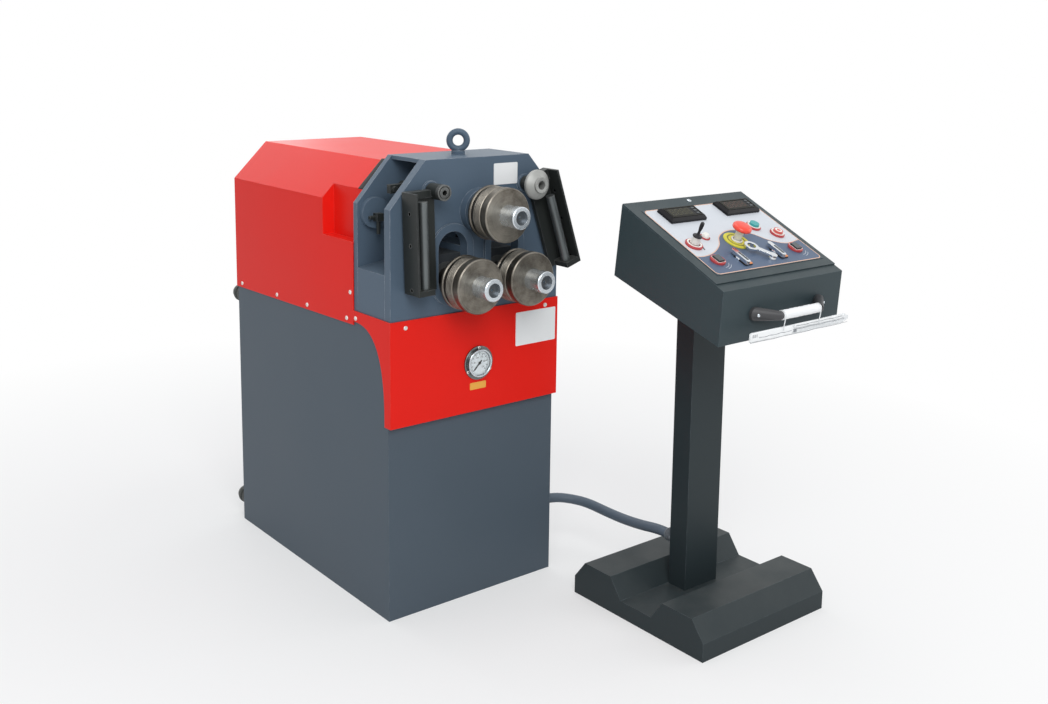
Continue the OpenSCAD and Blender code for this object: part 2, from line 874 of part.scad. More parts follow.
// Set of rings and spacers on one shaft
module roll_set(x, z, gap_r) {
    front_y1 = roll_y0 + front_ring_w;
    mid_y0 = front_y1 + ring_gap_w;
    mid_y1 = mid_y0 + mid_ring_w;
    rear_y0 = mid_y1 + ring_gap_w;
    color(steel) {
        roll_ring(x, z, roll_y0, front_y1, roll_r, ring_edge);
        roll_ring(x, z, front_y1, mid_y0, gap_r, 0);
        grooved_ring(x, z, mid_y0, mid_y1, roll_r - ring_groove);
        roll_ring(x, z, mid_y1, rear_y0, spacer_r, 0);
        roll_ring(x, z, rear_y0, roll_y1, roll_r, ring_edge);
    }
}

// Ring nut and the taper sleeve that it presses on the roll
module ring_nut(x, z) {
    bore = thread_r + run_clear;
    nut_r = nut_d / 2;
    nut_y1 = nut_y + nut_len;
    seat_y = roll_y0 - seat_len;
    neck_r = shaft_r - neck_cut;
    color(bright) {
        turned_y(x, z, [[bore, nut_y], [nut_r - nut_edge, nut_y], [nut_r, nut_y + nut_edge],
            [nut_r, nut_y1 - nut_edge], [nut_r - nut_edge, nut_y1], [bore, nut_y1]]);
        turned_y(x, z, [[bore, nut_y1], [neck_r, nut_y1], [neck_r + nut_edge, roll_y0 - taper_len],
            [shaft_r + taper_foot, roll_y0], [shaft_r + run_clear, roll_y0], [shaft_r + run_clear, seat_y],
            [bore, seat_y]]);
    }
}

// A bearing ring on an axis along Y
module bearing(x, z, y0, y1) {
    turned_y(x, z, [[shaft_r + run_clear, y0], [bearing_r, y0], [bearing_r, y1], [shaft_r + run_clear, y1]]);
}

// Hydraulic motor that carries a shaft's tail in its bore
module drive_motor(x, z, seat_y) {
    flange_y = back_y1 + motor_gap;
    body_y = flange_y + motor_flange_t;
    color(dark) difference() {
        union() {
            rod_y(x, z, seat_y, flange_y, adapter_r);
            rod_y(x, z, flange_y, body_y, motor_flange_r);
            rod_y(x, z, body_y, body_y + motor_len, motor_r);
            block([x - port_w / 2, body_y + motor_len / 3, z],
                [x + port_w / 2, body_y + motor_len * 2 / 3, z + motor_r + port_h / 2]);
        }
        rod_y(x, z, seat_y - overrun, back_y1 + shaft_tail + overrun, shaft_r + overrun);
    }
}

module upper_shaft() { roll_shaft(0, upper_z); }
module upper_roll() { roll_set(0, upper_z, spacer_r); }
module upper_nut() { ring_nut(0, upper_z); }
module upper_bearings() {
    color(bright) {
        bearing(0, upper_z, plate_y1 - bearing_w, plate_y1);
        bearing(0, upper_z, back_y0, back_y0 + bearing_w);
    }
}
module upper_motor() { drive_motor(0, upper_z, back_y1); }

// Slide block of one lower roll
module slide_block(x) {
    y0 = plate_y1 + slide_clear;
    y1 = back_y0 - slide_clear;
    color(cabinet_grey) difference() {
        block([x - block_w / 2, y0, lower_z - block_h / 2], [x + block_w / 2, y1, lower_z + block_h / 2]);
        rod_y(x, lower_z, y0 - overrun, y1 + overrun, shaft_hole_r);
        rod_y(x, lower_z, y0 - overrun, y0 + bearing_w, bearing_seat_r);
        rod_y(x, lower_z, y1 - bearing_w, y1 + overrun, bearing_seat_r);
    }
}

module block_bearings(x) {
    y0 = plate_y1 + slide_clear;
    y1 = back_y0 - slide_clear;
    color(bright) {
        bearing(x, lower_z, y0, y0 + bearing_w);
        bearing(x, lower_z, y1 - bearing_w, y1);
    }
}

// Piston and rod that lift one block
module lift_rod(x) {
    color(bright) {
        rod_z(x, cavity_y, piston_z, piston_z + piston_h, piston_r);
        rod_z(x, cavity_y, piston_z, lower_z - block_h / 2, rod_r);
    }
}

// Barrel hung under the deck, with its gland
module lift_cylinder(x) {
    color(dark) difference() {
        union() {
            rod_z(x, cavity_y, barrel_low, barrel_top, barrel_r);
            rod_z(x, cavity_y, barrel_top - cyl_flange_t, barrel_top, cyl_flange_r);
        }
        rod_z(x, cavity_y, barrel_low + barrel_end, barrel_top - gland_t, piston_r + run_clear);
        rod_z(x, cavity_y, barrel_top - gland_t - overrun, barrel_top + overrun, rod_r + run_clear);
    }
}

module left_shaft() { roll_shaft(-lower_x, lower_z); }
module left_roll() { roll_set(-lower_x, lower_z, slot_spacer_r); }
module left_nut() { ring_nut(-lower_x, lower_z); }
module left_block() { slide_block(-lower_x); }
module left_bearings() { block_bearings(-lower_x); }
module left_rod() { lift_rod(-lower_x); }
module left_cylinder() { lift_cylinder(-lower_x); }
module left_motor() { drive_motor(-lower_x, lower_z, back_y0 - slide_clear); }
module right_shaft() { roll_shaft(lower_x, lower_z); }
module right_roll() { roll_set(lower_x, lower_z, slot_spacer_r); }
module right_nut() { ring_nut(lower_x, lower_z); }
module right_block() { slide_block(lower_x); }
module right_bearings() { block_bearings(lower_x); }
module right_rod() { lift_rod(lower_x); }
module right_cylinder() { lift_cylinder(lower_x); }
module right_motor() { drive_motor(lower_x, lower_z, back_y0 - slide_clear); }

// Places a guide's own frame on its pivot, turned by its lean
module at_guide(side, angle) {
    translate([side * guide_pivot_x, 0, guide_z]) rotate([0, angle, 0])
        mirror([side < 0 ? 1 : 0, 0, 0]) children();
}

// Guide bracket: hub and shaft, web, outer flange, arm, foot with the roller's pin, and lever
module guide_bracket(reach, rise, hub_out, roller_drop) {
    low = -guide_drop;
    hub_y = guide_y1 - hub_out;
    roller_x = reach - guide_roller_inset;
    lever_y = plate_y1 + lever_back;
    tail_y = back_y0 - lug_t - tail_gap;
    difference() {
        union() {
            rod_y(0, 0, hub_y, guide_y1, hub_r);
            rod_y(0, 0, hub_y, tail_y, pivot_r);
            block([reach - guide_flange_t, guide_y0, low], [reach, guide_y1, rise]);
            block([guide_inner_x, guide_y1 - guide_web_t, low], [reach, guide_y1, rise]);
            block([0, guide_y1 - guide_arm_d, -guide_arm_drop], [reach, guide_y1, rise]);
            block([roller_x - guide_foot_w, guide_y0, low], [reach, guide_y1, low + guide_foot_t]);
            rod_z(roller_x, guide_roller_y, low, -roller_drop, guide_pin_r);
            block([0, lever_y, -lever_w / 2], [lever_len, lever_y + lever_t, lever_w / 2]);
            rod_y(0, 0, lever_y, lever_y + lever_t, hub_r);
            rod_y(lever_len - lever_w / 2, 0, lever_y - lever_bolt_h, lever_y, lever_bolt_r);
        }
        rod_y(0, 0, hub_y - overrun, plate_y1, pivot_bore_r);
        for (share = guide_hole_shares)
            translate([reach + overrun, (guide_y0 + guide_y1) / 2, low * share]) rotate([0, -90, 0])
                cylinder(r = guide_hole_r, h = guide_flange_t + 2 * overrun);
    }
}

// Roller on the bracket's pin, with end room
module guide_roller(reach, roller_drop) {
    roller_x = reach - guide_roller_inset;
    low = guide_foot_t - guide_drop + slide_clear;
    difference() {
        rod_z(roller_x, guide_roller_y, low, -roller_drop, guide_roller_r);
        rod_z(roller_x, guide_roller_y, low - overrun, overrun - roller_drop, guide_pin_r + run_clear);
    }
}

// The left guide's hub has a turned groove in its end
module left_guide() {
    hub_y = guide_y1 - left_hub_out;
    groove_r = hub_groove_r + hub_groove_w;
    color(dark) at_guide(-1, -left_lean_angle) difference() {
        guide_bracket(left_guide_reach, left_guide_rise, left_hub_out, left_roller_drop);
        turned_y(0, 0, [[hub_groove_r, hub_y - overrun], [groove_r, hub_y - overrun],
            [groove_r, hub_y + hub_groove_d], [hub_groove_r, hub_y + hub_groove_d]]);
    }
}
module left_guide_roller() {
    color(steel) at_guide(-1, -left_lean_angle) guide_roller(left_guide_reach, left_roller_drop);
}

// The right guide has a domed washer and a nose ring in front of its hub
module right_guide() {
    base_y = guide_y1 - right_hub_out;
    rim_y = base_y - washer_rim_t;
    nose_y = rim_y - washer_dome_t;
    end_y = nose_y - nose_ring_t;
    color(dark) at_guide(1, -right_lean_angle) {
        guide_bracket(right_guide_reach, right_guide_rise, right_hub_out, right_roller_drop);
        turned_y(0, 0, [[washer_bore_r, base_y], [washer_r, base_y], [washer_r, rim_y],
            [washer_r * washer_dome_shares[0], rim_y - washer_dome_t * washer_dome_shares[1]],
            [nose_ring_r, nose_y], [nose_ring_r, end_y], [washer_bore_r, end_y]]);
    }
}
module right_guide_roller() {
    color(steel) at_guide(1, -right_lean_angle) guide_roller(right_guide_reach, right_roller_drop);
}

// Stops inside the side windows: round lug, block, cross screw and upright stud
module guide_stops() {
    y0 = back_y0 - lug_t;
    color(slate) both_sides() {
        rod_y(lug_x, lug_z, y0, back_y0, lug_r);
        block([lug_x - stop_block / 2, y0 - stop_block, lug_z - stop_block],
            [lug_x + stop_block / 2, y0, lug_z]);
        rod_z(lug_x, y0 - stop_block / 2, lug_z - stop_stud_len, lug_z, stop_stud_r);
        translate([lug_x, y0 - stop_block / 2, lug_z - stop_block / 2]) rotate([0, 90, 0])
            cylinder(r = stop_stud_r, h = stop_stud_len / 2);
    }
}

module oil_tank() {
    y1 = rear_y - cabinet_wall - tank_rear;
    color(cabinet_grey) {
        block([-tank_w / 2, y1 - tank_d, floor_t], [tank_w / 2, y1, floor_t + tank_h]);
        rod_z(tank_w / 3, y1 - tank_cap_r * 2, floor_t + tank_h, floor_t + tank_h + tank_cap_h, tank_cap_r);
    }
}

// Electric motor that stands on the tank
module pump_motor() {
    y1 = rear_y - cabinet_wall - tank_rear - tank_cap_h;
    base = floor_t + tank_h;
    z = base + power_foot_h + power_r;
    color(slate) {
        rod_y(0, z, y1 - power_len, y1 - power_cap_len, power_r);
        rod_y(0, z, y1 - power_cap_len, y1, power_cap_r);
        block([-power_r * power_foot_share, y1 - power_len * power_foot_ends[0], base],
            [power_r * power_foot_share, y1 - power_len * power_foot_ends[1], z]);
        block([-power_box / 2, y1 - power_len * power_box_share, z],
            [power_box / 2, y1 - power_len * power_box_share + power_box, z + power_r + power_foot_h]);
    }
}

// Pump on the motor's flange, and the valve block beside it on the tank
module hydraulic_pump() {
    y1 = rear_y - cabinet_wall - tank_rear - tank_cap_h - power_len;
    base = floor_t + tank_h;
    z = base + power_foot_h + power_r;
    color(dark) {
        rod_y(0, z, y1 - pump_len, y1, pump_r);
        block([-valve_w / 2, y1 - pump_len, base], [valve_w / 2, y1 - pump_len + valve_d, base + valve_h]);
    }
}

// Side view of the pedestal's base: two ridges and the valley between them
module base_outline() {
    valley = 2 * ridge_run + ridge_w;
    polygon([[ped_y0, 0], [ped_y1, 0], [ped_y1, base_edge_h], [ped_y1 - ridge_run, base_h],
        [ped_y1 - ridge_run - ridge_w, base_h], [ped_y1 - valley, valley_h], [ped_y0 + valley, valley_h],
        [ped_y0 + ridge_run + ridge_w, base_h], [ped_y0 + ridge_run, base_h], [ped_y0, base_edge_h]]);
}

module pedestal_base() {
    color(console_grey) difference() {
        slab_x(ped_x0, ped_x0 + base_w) base_outline();
        slab_x(ped_x0 + base_sheet, ped_x0 + base_w - base_sheet) offset(delta = -base_sheet) base_outline();
    }
}

// Height of the console's underside at a depth
function under_z(y) = console_low + con_low_slope * (y - con_y0) - column_seam;

module pedestal_column() {
    color(console_grey) difference() {
        slab_x(column_x0, column_x1) polygon([[column_y0, valley_h], [column_y1, valley_h],
            [column_y1, under_z(column_y1)], [column_y0, under_z(column_y0)]]);
        block([column_x0 + column_wall, column_y0 + column_wall, valley_h + column_wall],
            [column_x1 - column_wall, column_y1 - column_wall, console_low]);
    }
}

// Side view of the console
module console_outline() {
    polygon([[con_y0, console_low], [con_top_y0, con_top_z0], [con_top_y1, con_top_z1],
        [con_y1, con_low_z1]]);
}

// A place on the sloped panel: across, up the slope and above the surface
module on_panel(at, h) {
    translate([con_x0, con_top_y0, con_top_z0]) rotate([panel_slope, 0, 0])
        translate([at[0], at[1], h]) children();
}

// A place on the console's front face: across, up the face and out of it
module on_face(at, h) {
    translate([con_x0, con_y0, console_low]) rotate([90 + face_lean, 0, 0])
        translate([at[0], at[1], h]) children();
}

module console_box() {
    color(console_grey) difference() {
        slab_x(con_x0, con_x0 + console_w) console_outline();
        slab_x(con_x0 + console_wall, con_x0 + console_w - console_wall) offset(delta = -console_wall)
            console_outline();
        on_panel([rim_w, seam_v + rim_w], -console_front_h / 2)
            cube([console_w - 2 * rim_w, panel_len - seam_v - 2 * rim_w, console_front_h]);
    }
}

// Holes through the lid or the overlay
module panel_holes(at_list, r) {
    for (at = at_list) on_panel(at, -overrun) cylinder(r = r, h = panel_top + 2 * overrun);
}

stem_places = [estop_at, start_at, stop_at, sel_left_at, sel_right_at];
open_places = [joy_at, rock_left_at, rock_right_at];

module console_lid() {
    color(console_grey) {
        difference() {
            on_panel([0, seam_v], 0) cube([console_w, panel_len - seam_v, lid_t]);
            panel_holes(stem_places, stem_r + run_clear);
            panel_holes(open_places, stem_hole_r);
        }
        on_panel([console_w / 2, panel_len - lid_screw_back], lid_t)
            cylinder(r = lid_screw_r, h = lid_screw_h);
    }
}

module panel_overlay() {
    color("#c6d2dc") difference() {
        on_panel([overlay_left, overlay_low], lid_t)
            cube([console_w - overlay_left - overlay_right, overlay_high - overlay_low, overlay_t]);
        panel_holes(stem_places, stem_hole_r);
        panel_holes(open_places, stem_hole_r);
    }
}

// Two readouts with bevelled cases
module readouts() {
    inset = [readout_edge, readout_edge];
    size = [readout_w, readout_d];
    color(dark) for (at = readout_at) on_panel(at - size / 2, panel_top) hull() {
        linear_extrude(readout_h / 2) square(size);
        linear_extrude(readout_h) translate(inset) square(size - 2 * inset);
    }
}

// A bezel ring on the panel
module bezel(at, r, r_in, h) {
    on_panel(at, panel_top) difference() {
        cylinder(r = r, h = h);
        translate([0, 0, -overrun]) cylinder(r = r_in, h = h + 2 * overrun);
    }
}

module switch_bezels() {
    color(signal_red) {
        difference() {
            bezel(joy_at, joy_ring_r, joy_ring_in, ring_h);
            on_panel(joy_at, panel_top + ring_h / 2) rotate([0, 90, 0])
                cylinder(r = joy_pin_r + run_clear, h = 2 * (joy_ring_r + overrun), center = true);
        }
        bezel(start_at, ring_r, ring_in_r, ring_h);
        bezel(stop_at, ring_r, ring_in_r, ring_h);
        for (at = [rock_left_at, rock_right_at]) on_panel(at, panel_top) difference() {
            cylinder(r = ring_r, h = ring_h);
            translate([-rocker_w / 2 - rocker_room, -rocker_d / 2 - rocker_room, -overrun])
                cube([rocker_w + 2 * rocker_room, rocker_d + 2 * rocker_room, ring_h + 2 * overrun]);
            translate([0, 0, ring_h / 2]) rotate([0, 90, 0])
                cylinder(r = rocker_pin_r + run_clear, h = rocker_pin_len + 2 * overrun, center = true);
        }
    }
    color("#e2c531") bezel(estop_at, estop_plate_r, stem_hole_r, estop_plate_t);
    color(dark) {
        for (at = [sel_left_at, sel_right_at]) on_panel(at, panel_top) difference() {
            translate([-sel_base_w / 2, -sel_base_d / 2, 0]) cube([sel_base_w, sel_base_d, sel_base_h]);
            translate([0, 0, -overrun]) cylinder(r = stem_hole_r, h = sel_base_h + 2 * overrun);
        }
        on_panel(key_at, panel_top) cylinder(r = key_lock_r, h = key_lock_h);
    }
}

module joystick() {
    color(dark) on_panel(joy_at, panel_top + ring_h / 2) {
        sphere(r = joy_ball_r);
        translate([0, 0, ring_h / 2]) {
            cylinder(r1 = joy_collar_r, r2 = joy_collar_top_r, h = joy_collar_h);
            translate([0, 0, joy_collar_h]) cylinder(r = joy_disc_r, h = joy_disc_h);
        }
        cylinder(r = joy_stalk_r, h = joy_stalk_h);
        translate([0, 0, joy_stalk_h - joy_grip_h]) cylinder(r = joy_grip_r, h = joy_grip_h);
        rotate([0, 90, 0]) cylinder(r = joy_pin_r, h = joy_pin_len, center = true);
    }
}

module emergency_stop() {
    low = panel_top + estop_plate_t + estop_lift;
    color("#d9302c") on_panel(estop_at, 0) {
        translate([0, 0, low]) rotate_extrude()
            polygon([for (s = estop_shares) [estop_r * s[0], estop_h * s[1]]]);
        translate([0, 0, -stem_len]) cylinder(r = stem_r, h = low + stem_len);
    }
}

// A push button in its bezel, with its stem through the lid
module push_button(at) {
    on_panel(at, 0) {
        translate([0, 0, panel_top + press_in + overrun]) cylinder(r = button_r, h = button_h - press_in);
        translate([0, 0, -stem_len]) cylinder(r = stem_r, h = stem_len + panel_top + press_in + overrun);
    }
}
module start_button() { color("#2fa3a3") push_button(start_at); }
module stop_button() { color("#d9302c") push_button(stop_at); }

// A selector lever that turns on its base
module selector(at) {
    low = panel_top + sel_base_h + sel_gap;
    color(bright) on_panel(at, 0) {
        translate([0, 0, low]) linear_extrude(sel_h) {
            translate([-sel_w / 2, -sel_len / 2 + sel_w / 2]) square([sel_w, sel_len - sel_w]);
            translate([0, sel_len / 2 - sel_w / 2]) circle(d = sel_w);
            translate([0, sel_w / 2 - sel_len / 2]) circle(d = sel_w);
        }
        translate([0, 0, -stem_len]) cylinder(r = stem_r, h = low + stem_len);
    }
}
module selector_left() { selector(sel_left_at); }
module selector_right() { selector(sel_right_at); }

// Key with a ring bow, lying over the panel
module key_lever() {
    color(bright) on_panel(key_at, panel_top + key_lock_h + sel_gap) rotate(key_angle)
        linear_extrude(key_t) difference() {
            union() {
                circle(r = key_lock_r);
                translate([-key_w / 2, 0]) square([key_w, key_reach]);
                translate([0, key_reach]) circle(r = key_ring_r);
            }
            translate([0, key_reach]) circle(r = key_hole_r);
        }
}

// A rocker that tips in its ring
module rocker(at) {
    color(dark) on_panel(at, panel_top + ring_h / 2) {
        translate([-rocker_w / 2, -rocker_d / 2, 0]) cube([rocker_w, rocker_d, rocker_rise]);
        translate([-rocker_w / 3, -rocker_sink / 2, -panel_top - ring_h / 2])
            cube([rocker_w * 2 / 3, rocker_sink, panel_top + ring_h]);
        rotate([0, 90, 0]) cylinder(r = rocker_pin_r, h = rocker_pin_len, center = true);
    }
}
module rocker_left() { rocker(rock_left_at); }
module rocker_right() { rocker(rock_right_at); }

// Bridge handle: two flared feet, arms and a round bar
module console_handle() {
    mid = console_w / 2 + handle_shift;
    bar_half = handle_span / 2 * (1 - handle_bar_share);
    shoulder_r = handle_bar_r + handle_shoulder;
    color(dark) {
        for (side = [-1, 1]) hull() {
            on_face([mid + side * handle_span / 2, handle_v], 0)
                cylinder(r = handle_foot_r, h = handle_foot_t, $fn = 28);
            on_face([mid + side * bar_half, handle_v], handle_reach) rotate([0, 90, 0])
                cylinder(r = shoulder_r, h = 2 * handle_shoulder, center = true, $fn = 28);
        }
        on_face([mid - bar_half, handle_v], handle_reach) rotate([0, 90, 0])
            cylinder(r = handle_bar_r, h = 2 * bar_half);
    }
}

// Folded pouch hung under the handle's bar by a sleeve and two straps
module document_pouch() {
    mid = console_w / 2 + pouch_shift;
    sleeve_x = console_w / 2 + sleeve_shift - sleeve_len / 2;
    pouch_top = handle_v - sleeve_r - pouch_drop / 2;
    bore = handle_bar_r + run_clear;
    color("#eef1f2") {
        difference() {
            on_face([sleeve_x, handle_v], handle_reach) rotate([0, 90, 0])
                cylinder(r = sleeve_r, h = sleeve_len);
            on_face([sleeve_x - overrun, handle_v], handle_reach) rotate([0, 90, 0])
                cylinder(r = bore, h = sleeve_len + 2 * overrun);
        }
        for (x = [sleeve_x, sleeve_x + sleeve_len - strap_w])
            on_face([x, pouch_top - pouch_h / 2], handle_reach + bore)
                cube([strap_w, handle_v - pouch_top + pouch_h / 2, strap_t]);
        on_face([mid - pouch_len / 2, pouch_top - pouch_h], handle_reach + bore - pouch_t)
            cube([pouch_len, pouch_h, pouch_t]);
    }
}

// A gland with a hexagon nut and ribs, standing along +Z
module gland() {
    rib_step = (gland_len - gland_nut_t) / (gland_ribs + 1);
    cylinder(r = gland_nut_r, h = gland_nut_t, $fn = hex_sides);
    cylinder(r = gland_neck_r, h = gland_len);
    for (i = [1 : gland_ribs]) translate([0, 0, gland_nut_t + (i - 0.5) * rib_step])
        cylinder(r = gland_r, h = rib_step / 2);
}

module conduit_glands() {
    first = conduit_route[0];
    last = conduit_route[len(conduit_route) - 1];
    color("#6b7075") {
        translate([half_w, first[1], first[2]]) rotate([0, 90, 0]) gland();
        translate([last[0], column_y1, last[2]]) rotate([-90, 0, 0]) gland();
    }
}

// Sweep of a round tube along the route
function unit(v) = v / norm(v);
function heading(p, i) = unit(p[min(i + 1, len(p) - 1)] - p[max(i - 1, 0)]);
function tube_ring(p, i, r, n) =
    let (t = heading(p, i), side = unit(cross(t, [0, 0, 1])), up = cross(side, t))
    [for (k = [0 : n - 1]) p[i] + r * (cos(360 * k / n) * side + sin(360 * k / n) * up)];

module tube(p, r, n) {
    last = len(p) - 1;
    points = [for (i = [0 : last]) each tube_ring(p, i, r, n)];
    walls = [for (i = [0 : last - 1], k = [0 : n - 1]) let (a = i * n + k, b = i * n + (k + 1) % n)
        each [[a, a + n, b], [b, a + n, b + n]]];
    first_end = [for (k = [0 : n - 1]) k];
    last_end = [for (k = [n - 1 : -1 : 0]) last * n + k];
    polyhedron(points, concat(walls, [first_end], [last_end]));
}

module control_conduit() { color("#8a8f93") tube(conduit_route, conduit_r, conduit_sides); }

base_cabinet();
front_plate();
rear_plate();
head_core();
top_cover();
front_apron();
cover_screws();
rear_feet();
lifting_eye();
gauge_case();
gauge_needle();
upper_shaft();
upper_roll();
upper_nut();
upper_bearings();
upper_motor();
left_shaft();
left_roll();
left_nut();
left_block();
left_bearings();
left_rod();
left_cylinder();
left_motor();
right_shaft();
right_roll();
right_nut();
right_block();
right_bearings();
right_rod();
right_cylinder();
right_motor();
left_guide();
left_guide_roller();
right_guide();
right_guide_roller();
guide_stops();
oil_tank();
pump_motor();
hydraulic_pump();
pedestal_base();
pedestal_column();
console_box();
console_lid();
panel_overlay();
readouts();
switch_bezels();
joystick();
emergency_stop();
start_button();
stop_button();
selector_left();
selector_right();
key_lever();
rocker_left();
rocker_right();
console_handle();
document_pouch();
conduit_glands();
control_conduit();
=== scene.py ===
"""Dresses the angle roll bender: finishes, printed panel, gauge, screws, conduit, pouch and the studio."""

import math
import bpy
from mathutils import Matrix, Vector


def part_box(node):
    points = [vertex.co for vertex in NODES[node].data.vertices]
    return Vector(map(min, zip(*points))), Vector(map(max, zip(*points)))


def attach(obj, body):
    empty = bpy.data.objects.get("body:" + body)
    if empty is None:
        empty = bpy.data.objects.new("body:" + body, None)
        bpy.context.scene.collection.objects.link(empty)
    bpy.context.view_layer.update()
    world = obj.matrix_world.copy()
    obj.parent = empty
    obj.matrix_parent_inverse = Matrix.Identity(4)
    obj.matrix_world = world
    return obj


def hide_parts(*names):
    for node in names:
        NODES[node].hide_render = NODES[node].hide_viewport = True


bl_info = {
    "name": "Angle roll bender",
    "version": (1, 0, 0),
    "blender": (4, 5, 0),
    "location": "3D View > Sidebar > Bender",
    "description": "Finishes and small pieces of an angle roll bender with its control pedestal",
    "category": "Object",
}

import bmesh
import bpy
from mathutils import Matrix, Vector

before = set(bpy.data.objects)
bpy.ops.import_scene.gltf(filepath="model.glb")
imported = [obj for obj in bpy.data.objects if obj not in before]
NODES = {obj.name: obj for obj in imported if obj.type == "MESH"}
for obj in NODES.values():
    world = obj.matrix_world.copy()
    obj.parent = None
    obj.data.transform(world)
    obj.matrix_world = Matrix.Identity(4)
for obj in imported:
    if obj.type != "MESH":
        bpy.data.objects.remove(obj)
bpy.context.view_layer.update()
MACHINE = "machine"


# Places that the CAD gives, in metres

UP = (0, 0, 1)
FORWARD = (0, -1, 0)
BACKWARD = (0, 1, 0)
ROLL_AXES = {"upper": (0, 0, 1.054), "left": (-0.083, 0, 0.883), "right": (0.083, 0, 0.883)}
GUIDE_AXIS_X = 0.150
GUIDE_AXIS_Z = 1.115
GAUGE_Z = 0.650
NUT_PLANE_Y = -0.560
SHAFT_END_Y = -0.6005
STOP_PLANE_Y = -0.2945
CONDUIT_R = 0.014
CONDUIT_START = Vector((0.300, -0.335, 0.165))
CONDUIT_ROUTE = [(0, 0, 0), (0.014, 0, 0), (0.038, -0.003, -0.002), (0.063, -0.011, -0.004),
                 (0.085, -0.025, -0.007), (0.103, -0.044, -0.010), (0.115, -0.067, -0.012),
                 (0.122, -0.093, -0.014), (0.124, -0.125, -0.015), (0.124, -0.165, -0.015),
                 (0.124, -0.210, -0.014), (0.124, -0.255, -0.011), (0.124, -0.300, -0.006),
                 (0.124, -0.345, 0.001), (0.124, -0.376, 0.004), (0.124, -0.398, 0.004)]

# Places on the console: along its width, up its slope and out of its surface

CONSOLE_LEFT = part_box("console_box")[0][0]
PANEL_RUN, PANEL_RISE = 0.344, 0.162
PANEL_FOOT = (CONSOLE_LEFT, -1.065, 0.920)
FACE_RISE, FACE_LEAN = 0.133, 0.010
FACE_FOOT = (CONSOLE_LEFT, -1.055, 0.787)
PANEL = Matrix.Translation(PANEL_FOOT) @ Matrix.Rotation(math.atan2(PANEL_RISE, PANEL_RUN), 4, "X")
FACE_TURN = math.pi / 2 + math.atan2(FACE_LEAN, FACE_RISE)
FACE = Matrix.Translation(FACE_FOOT) @ Matrix.Rotation(FACE_TURN, 4, "X")
PANEL_TOP = 0.0052
JOYSTICK = (0.06586, 0.178)
ESTOP = (0.21227, 0.170)
START = (0.32619, 0.218)
STOP = (0.37603, 0.176)
SELECTORS = {"left_lever": (0.15219, 0.100), "right_lever": (0.29192, 0.105)}
KEY = (0.25499, 0.082)
ROCKERS = ((0.0801, 0.106), (0.3738, 0.108))
READOUTS = {"Green digits": (0.13706, 0.300), "Red digits": (0.3471, 0.305)}
LAMP = (0.1270, 0.2010)
HANDLE_BAR = (0.066, 0.042)


def on_panel(u, v, h=0.0):
    return PANEL @ Matrix.Translation((u, v, h))


def on_face(u, v, h=0.0):
    return FACE @ Matrix.Translation((u, v, h))


# Values that a user may change

def srgb(r, g, b):
    """A colour written as it looks on a screen, 0 to 255, turned linear."""
    def lift(c):
        c /= 255
        return c / 12.92 if c <= 0.04045 else ((c + 0.055) / 1.055) ** 2.4
    return (lift(r), lift(g), lift(b))


def colour(name, value, words):
    """A colour property, its default written as it looks on a screen."""
    return bpy.props.FloatVectorProperty(name=name, description=words, subtype="COLOR", size=3, min=0,
                                         max=1, default=srgb(*value))


def length(name, value, words):
    """A length property, in metres."""
    return bpy.props.FloatProperty(name=name, description=words, unit="LENGTH", min=0, default=value,
                                   precision=5)


class BenderColours(bpy.types.PropertyGroup):
    """Colours of the finishes."""
    red: colour("Red paint", (230, 34, 25), "Cover and apron")
    cabinet: colour("Cabinet paint", (78, 89, 99), "Cabinet below the apron")
    slate: colour("Head paint", (82, 98, 114), "Plates and core of the bending head")
    console: colour("Pedestal paint", (53, 65, 69), "Console and its lid")
    guide: colour("Guide paint", (42, 45, 44), "Brackets of the side guides")
    roll: colour("Roll steel", (132, 127, 118), "Rolls")
    bright: colour("Bright steel", (204, 211, 217), "Nuts and bright screws")
    film: colour("Panel film", (208, 212, 218), "Upper part of the printed panel")
    film_low: colour("Panel field", (84, 100, 124), "Lower part of the printed panel")
    trim: colour("Panel outline", (230, 190, 168), "Line between the two parts of the print")
    conduit: colour("Conduit", (92, 104, 116), "Conduit between cabinet and pedestal")


class BenderSizes(bpy.types.PropertyGroup):
    """Sizes of the small pieces and of the view."""
    lens: bpy.props.FloatProperty(name="Lens", description="Focal length on a 36 mm wide sensor",
                                  default=40.53)
    screw: length("Screw radius", 0.00575, "Heads on the cover, the apron and the rear panel")
    rib: length("Conduit rib", 0.0009, "Height of the ribs of the conduit")
    plate: length("Plate thickness", 0.0008, "Blank plates")


def sizes():
    return bpy.context.scene.bender_sizes


def colours():
    return bpy.context.scene.bender_colours


# Outlines

TINY = 1e-6
COARSE = 2


def angles(steps):
    """Even angles round a full turn."""
    return [2 * math.pi * k / steps for k in range(steps)]


def circle(r, steps=48):
    return [(r * math.cos(a), r * math.sin(a)) for a in angles(steps)]


def round_rect(w, h, r, steps=6, centre=(0, 0)):
    """Outline of a rectangle with round corners."""
    points = []
    corners = ((w / 2 - r, h / 2 - r, 0), (r - w / 2, h / 2 - r, 90), (r - w / 2, r - h / 2, 180),
               (w / 2 - r, r - h / 2, 270))
    for cx, cy, start in corners:
        for k in range(steps + 1):
            a = math.radians(start + 90 * k / steps)
            points.append((centre[0] + cx + r * math.cos(a), centre[1] + cy + r * math.sin(a)))
    return points


def square_hole(w, h, steps=48):
    """Points of a rectangle at even angles, to pair with a circle's."""
    points = []
    for a in angles(steps):
        reach = 1 / max(abs(math.cos(a)) / (w / 2), abs(math.sin(a)) / (h / 2))
        points.append((reach * math.cos(a), reach * math.sin(a)))
    return points


